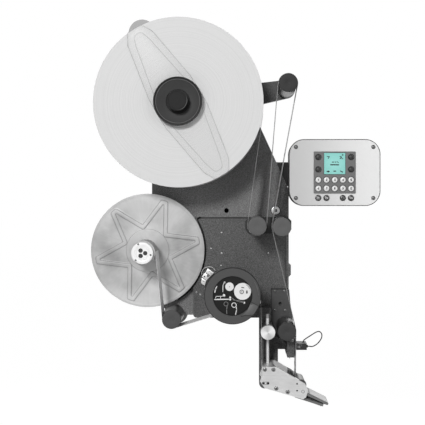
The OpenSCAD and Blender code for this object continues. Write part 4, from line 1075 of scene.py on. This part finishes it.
# Display: dark surround, and plain marks where its readings stand
SURROUND = rect(-19.2, -19.2, 19.2, 19.2)
flat_set("display_surround", strokes((0.7, *SURROUND, SURROUND[0])), BEZEL_Y - MARK_LIFT, MARK_DEPTH,
         "ink_black", centre=DISPLAY)
flat_set("display_marks", strokes(
    (1.2, (-13.5, 12.5), (-9.5, 12.5), (-11.5, 9.0)), (1.5, (9.5, 8.5), (12.5, 11.5), (9.5, 12.5)),
    (2.25, (13.8, 15.2), (14.6, 15.2)), (1.2, (12.8, 8.6), (14.6, 8.6)), (1.5, (-4.5, 2.6), (-1.5, 2.6)),
    (1.5, (0.8, 2.6), (2.4, 2.6)), (1.35, (4.6, 3.2), (6.4, 1.6)), (2.1, (-7.0, -2.2), (-3.4, -2.2)),
    (2.1, (-1.8, -2.2), (1.2, -2.2)), (2.1, (3.2, -2.2), (6.8, -2.2)), (1.65, (-13.6, -14.2), (-9.6, -14.2)),
    (1.2, (-11.6, -12.4), (-11.6, -15.8)), (1.8, (-1.4, -13.6), (1.8, -13.6)),
    (1.65, (10.2, -13.2), (13.8, -15.2))),
    BEZEL_Y - MARK_LIFT, 0.2, "ink_black", centre=DISPLAY)

# Dark seal along the panel's rim, and a dark ring round each of its screws
SEAL_INSET = 0.6
seal_x, seal_z = PANEL_W / 2 - PANEL_CORNER, PANEL_H / 2 - PANEL_CORNER
seal_line = [p for x, z, start in ((1, 1, 0), (-1, 1, 90), (-1, -1, 180), (1, -1, 270))
             for p in arc((x * seal_x, z * seal_z), PANEL_CORNER - SEAL_INSET, start, start + 90, 14)]
flat_set("panel_seal", strokes((1.2, *seal_line, seal_line[0])), PANEL_Y - 0.3, 0.6,
         "ink_black", centre=PANEL)
flat_set("panel_screw_rings", [shape for spot in PANEL_SCREWS for shape in hoop(spot, 3.2, 1.0)],
         PANEL_Y - 0.2, 0.4, "ink_black")

# Beak: screws, pin holes, an oval slot, a dowel ring and a pin cover on its plate, a black spacer behind it,
# a flange on the front end of its roller
BEAK_Y, SPACER_Y = -247.0, -238.0
ROLLER_END = box_mm("beak_roller")[0][1]
BEAK_SCREWS = [(63, -265), (78, -265), (83, -298), (103, -304)]
screw_set("beak_screws", level(BEAK_SCREWS, BEAK_Y - 1.1), 3.6, body="beak")
flat_set("beak_holes", [dot((119.4, -289.9), 1.5), dot((119.4, -301.8), 1.5)] + strokes(
    (3.2, (59.6, -289.0), (61.4, -289.0)), (3.2, (67.4, -289.0), (69.4, -289.0)),
    (0.6, (59.0, -291.2), (70.0, -291.2)), (0.6, (59.0, -286.8), (70.0, -286.8))),
    BEAK_Y - MARK_LIFT, MARK_DEPTH, "socket_dark", body="beak")
flat_set("beak_dowel", hoop((129.7, -303.6), 2.6, 0.8), BEAK_Y - MARK_LIFT, MARK_DEPTH,
         "ink_grey", body="beak")
turned("beak_pin_cover", BEAK_ROLLER, BEAK_Y, [(0, -0.2), (3.6, -0.2), (3.8, 0), (3.8, 0.4), (0, 0.4)],
       "aluminium", segments=32, body="beak")
flat_set("beak_spacer", [[(104.6, -271.0), (112.4, -275.0), (112.4, -285.0), (106.0, -282.0)]],
         SPACER_Y, 50.0, "ink_black", body="beak")
turned("beak_roller_flange", BEAK_ROLLER, ROLLER_END, [
    (0, 0.1), (9.4, 0.1), (9.8, 0.3), (9.8, 1.0), (0, 1.0)],
    "black_plastic", segments=48, body="beak_roller")

# Toothed strip under the peel edge
TEETH, TOOTH_DEPTH, TOOTH_Y = 10, 2.6, -239.6
tooth_start, tooth_end = Vector((136.5, -318.5)), Vector((164.0, -329.0))
tooth_run = (tooth_end - tooth_start) / TEETH
tooth_down = Vector((tooth_run.y, -tooth_run.x)).normalized() * TOOTH_DEPTH
TOOTH = ((0.0, 0), (0.5, 0), (0.35, 1), (-0.1, 1))
flat_set("liner_teeth", [[tooth_start + tooth_run * (k + share) + tooth_down * down for share, down in TOOTH]
                         for k in range(TEETH)], TOOTH_Y, 1.0, "ink_grey", body="beak")

# Adjusting rod: a ground bar with a grey end on top, standing on its cross bar
ROD_X, ROD_Y, ROD_R = KNOB[0], -207.0, 3.0
rod_low, rod_high = box_mm("adjusting_rod")
ROD_JOINT = rod_high[2] - 7.5


def rod_length(low, high):
    return wire(bmesh.new(), [Vector((ROD_X, ROD_Y, z)) * MM for z in (low, high)], ROD_R * MM, 28)


rod_bar = rod_length(rod_low[2], ROD_JOINT)
prism(rod_bar, rect(rod_low[0], rod_low[2], rod_high[0], rod_low[2] + 12.0), rod_low[1], rod_high[1])
put("ground_rod", rod_bar, "rod_steel", ["adjusting_rod"], "beak")
put("rod_end", rod_length(ROD_JOINT, rod_high[2]), "hub_plastic", body="beak")

# Sensor: pale lid, lens, a line round its window
SENSOR_Y = -217.0
sensor_left = box_mm("label_sensor")[0][0] + 0.6
flat_set("sensor_lid", [fillet(rect(sensor_left, -224.5, 137.8, -224.0), 0.2, 2)], SENSOR_Y + 1.0, 31.0,
         "lid_grey", 0.2)
flat_set("sensor_lens", [fillet(rect(121.0, -232.4, 126.8, -227.6), 0.8, 4)], SENSOR_Y - 0.4, 0.8,
         "lens_grey", 0.2)
flat_set("sensor_window", strokes((0.7, (120.6, -225.8), (129.0, -225.8), (129.0, -229.0))), SENSOR_Y - 0.2,
         0.4, "ink_grey")

# Painted shadow in the gaps round the infeed bracket, along the cover's top and beside the reel, then painted
# shade down the cover's folded edge and painted glints on its screws
flat_set("bracket_gap", strokes((2.0, (77.2, -217.0), (77.2, -132.2), (107.6, -132.2))),
         BRACKET_Y - MARK_LIFT, 0.6, "ink_black")
cover_seam = [(36.0, -1.2), (-55.0, -1.2)] + arc((-55.0, -7.2), 6.0, 90, 150, 6)
# Painted shadow of the reel's rim on the cover
reel_shadow = arc(REWIND, REEL_R + 2.1, 29, -58, 40)
flat_set("cover_gap", strokes((3.0, *cover_seam, *reel_shadow)), COVER_Y - MARK_LIFT, MARK_DEPTH,
         "ink_black")
# Painted shade: a dark line down the cover's folded edge
flat_set("cover_fold_shade", strokes((0.9, (103.2, -2.0), (103.2, -150.0))), COVER_Y - MARK_LIFT, MARK_DEPTH,
         "seam_dark")
# Painted glints: short white dashes on the cover screws
flat_set("cover_screw_glints", strokes(*((1.5, (x - 1.0, z), (x + 1.0, z)) for x, z in COVER_SCREWS)), COVER_Y - 1.1,
         0.6, "ink_white")

# Beam: a gusset behind the infeed roller, and the rounded corner where the sensor arm meets its jaw
GUSSET_Y, JAW_Y, JAW_CORNER = -151.9, -216.5, (101.3, -241.0)
flat_set("beam_gusset", [rect(80, -226, 100, -208)], GUSSET_Y, 6.0, "black_paint", 0.8)
JAW_WEB = [(0, 0), (6.6, 0), (6.6, -11.0)] + arc((-1.4, -9.4), 8.0, 0, 80, 8)
flat_set("jaw_web", [JAW_WEB], JAW_Y, 55.0, "frame_paint", 0.6, centre=JAW_CORNER)

# Housing: louvres over dark slots, screws, the lid's joint line and two round connectors
HOUSING_REAR, HOUSING_LEFT, HOUSING_RIGHT, HOUSING_LOW, HOUSING_TOP = -12.0, -126.0, 78.0, -174.0, 110.0
PROUD, SLOT_DROP, JOINT_LIFT, JOINT_Y = 2.6, 3.4, 0.2, -23.6
LOUVRES = [(side, -92.0 - 10.0 * k) for k in range(7) for side in (-62.0, 16.0)]
flat_set("louvre_hoods", [oblong(x, z, 62.0, 5.0) for x, z in LOUVRES], HOUSING_REAR + PROUD, -3.0,
         "housing_paint", 1.4)
flat_set("louvre_slots", [oblong(x, z - SLOT_DROP, 56.0, 1.6) for x, z in LOUVRES], HOUSING_REAR + 0.2, -0.4,
         "socket_dark")
screw_set("housing_screws", [(x, HOUSING_REAR, z) for x in (-117, -24, 69) for z in (101, -165)], 3.5,
          facing=BACKWARD)
joint = rect(HOUSING_LEFT - JOINT_LIFT, HOUSING_LOW - JOINT_LIFT,
             HOUSING_RIGHT + JOINT_LIFT, HOUSING_TOP + JOINT_LIFT)
flat_set("housing_joint", [fillet(joint, 8.2, 6)], JOINT_Y, 1.2, "socket_dark")
for name, height in (("power_inlet", 50.0), ("signal_outlet", 15.0)):
    centre = (-101.0, height)
    turned(name, centre, HOUSING_REAR, [
        (0, 7.0), (5.8, 7.0), (6.2, 9.6), (8.6, 9.6), (9.2, 9.0), (9.2, 7.0), (8.6, 6.6), (8.6, 5.6),
        (9.2, 5.2), (9.2, 2.8), (12.4, 2.6), (12.8, 2.0), (12.8, -0.4), (0, -0.4)],
        "black_plastic", segments=40)
    pins = [dot(around(centre, 3.2, math.degrees(0.5 + 1.6 * k)), 0.9, 12) for k in range(4)]
    flat_set(f"{name}_pins", pins, HOUSING_REAR + 7.8, -1.0, "bright_steel")


def side_set(name, outlines, side, proud, sunk, finish, bevel=0.0):
    """Shapes given in (y, z) that stand on one side of the housing."""
    bm = bmesh.new()
    for outline in outlines:
        prism(bm, outline, -side - math.copysign(proud, side), -side + math.copysign(sunk, side), bevel)
    mesh = to_mesh(name, bm)
    mesh.transform(Matrix.Rotation(QUARTER, 4, "Z"))
    put(name, mesh, finish)


for name, side, facing in (("left", HOUSING_LEFT, LEFTWARD), ("right", HOUSING_RIGHT, RIGHTWARD)):
    rows = [-110.0 + 10.0 * k for k in range(8)]
    side_set(f"{name}_hoods", [oblong(-70.0, z, 56.0, 5.0) for z in rows], side, PROUD, 0.4,
             "housing_paint", 1.4)
    side_set(f"{name}_slots", [oblong(-70.0, z - SLOT_DROP, 50.0, 1.6) for z in rows], side, 0.2, 0.2,
             "socket_dark")
    screw_set(f"{name}_housing_screws", [(side, y, z) for y in (-112, -17) for z in (-160, -32, 96)], 3.2,
              facing=facing)

# Back of the panel: its lid, screws and vents
PANEL_REAR, LID = -177.0, 1.4
flat_set("panel_lid", [fillet(rect(122, 34, 254, 127), 8.0, 6)], PANEL_REAR + LID, -1.8,
         "housing_paint", 0.6)
screw_set("panel_lid_screws", [(x, PANEL_REAR + LID, z) for x in (129, 188, 247) for z in (41, 120)], 2.8,
          facing=BACKWARD)
flat_set("panel_vents", [oblong(PANEL[0], 62.0 + 6.0 * k, 70.0, 2.2) for k in range(7)],
         PANEL_REAR + LID + 0.2, -0.4, "socket_dark")

# Back of the plate: the nut on the supply spindle
PLATE_REAR = -122.0
flat_set("spindle_nut", [dot(SUPPLY, 11.5, 6)], PLATE_REAR + 8.0, -8.4, "dark_steel", 1.0)
turned("spindle_end", SUPPLY, PLATE_REAR, [(0, 11.5), (5.0, 11.5), (6.0, 10.5), (6.0, 7.0), (0, 7.0)],
       "bright_steel", segments=40)


# Studio: white all round, a pale floor far below, three soft lamps
def show_white(tree, soft, white, share):
    """Blends a soft shader into a white one by a share, where the camera, a mirror or clear plastic looks."""
    direct, mirrored, through = (tree.node("ShaderNodeLightPath", output=f"Is {ray} Ray")
                                 for ray in ("Camera", "Glossy", "Transmission"))
    seen = direct.math("MAXIMUM", mirrored).math("MAXIMUM", through) * share
    return tree.node("ShaderNodeMixShader", {}, {0: seen, 1: soft, 2: white})


def studio_world(ambient):
    scene.world = bpy.data.worlds.new("studio")
    scene.world.use_nodes = True
    scene.world.node_tree.nodes.clear()
    sky = Nodes(scene.world.node_tree)
    soft, white = (sky.node("ShaderNodeBackground", {}, {"Color": (1, 1, 1, 1), "Strength": strength})
                   for strength in (ambient, 1.0))
    sky.node("ShaderNodeOutputWorld", {}, {"Surface": show_white(sky, soft, white, 1.0)})


def studio_floor(height, half, glow):
    mesh = bpy.data.meshes.new("floor")
    corners = rect(-half, -half, half, half)
    mesh.from_pydata([(x, y, height) for x, y in corners], [], [(0, 1, 2, 3)])
    floor = bpy.data.objects.new("floor", mesh)
    scene.collection.objects.link(floor)
    f = Finish("floor_paint", Base_Color=linear(238), Roughness=0.9)
    white = f.node("ShaderNodeEmission", {}, {"Strength": 1.12})
    seen = show_white(f, Value(f, f.shader.outputs[0]), white, glow)
    f.plug(f.tree.nodes["Material Output"].inputs["Surface"], seen)
    mesh.materials.append(f.material)


def lamp(name, place, size, power):
    data = bpy.data.lights.new(name, "AREA")
    data.size = size
    data.energy = power
    made = bpy.data.objects.new(name, data)
    made.location = place
    made.rotation_euler = (LAMP_TARGET - Vector(place)).to_track_quat("-Z", "Y").to_euler()
    scene.collection.objects.link(made)


LAMP_TARGET = Vector((0, -0.15, 0.03))
studio_world(0.30)
studio_floor(-1.1, 40, 0.85)
lamp("key_lamp", (-0.6, -2.6, 0.95), 0.5, 45)
lamp("fill_lamp", (1.8, -2.0, 0.4), 1.6, 9)
lamp("rear_lamp", (0.6, 2.4, 1.4), 1.6, 30)
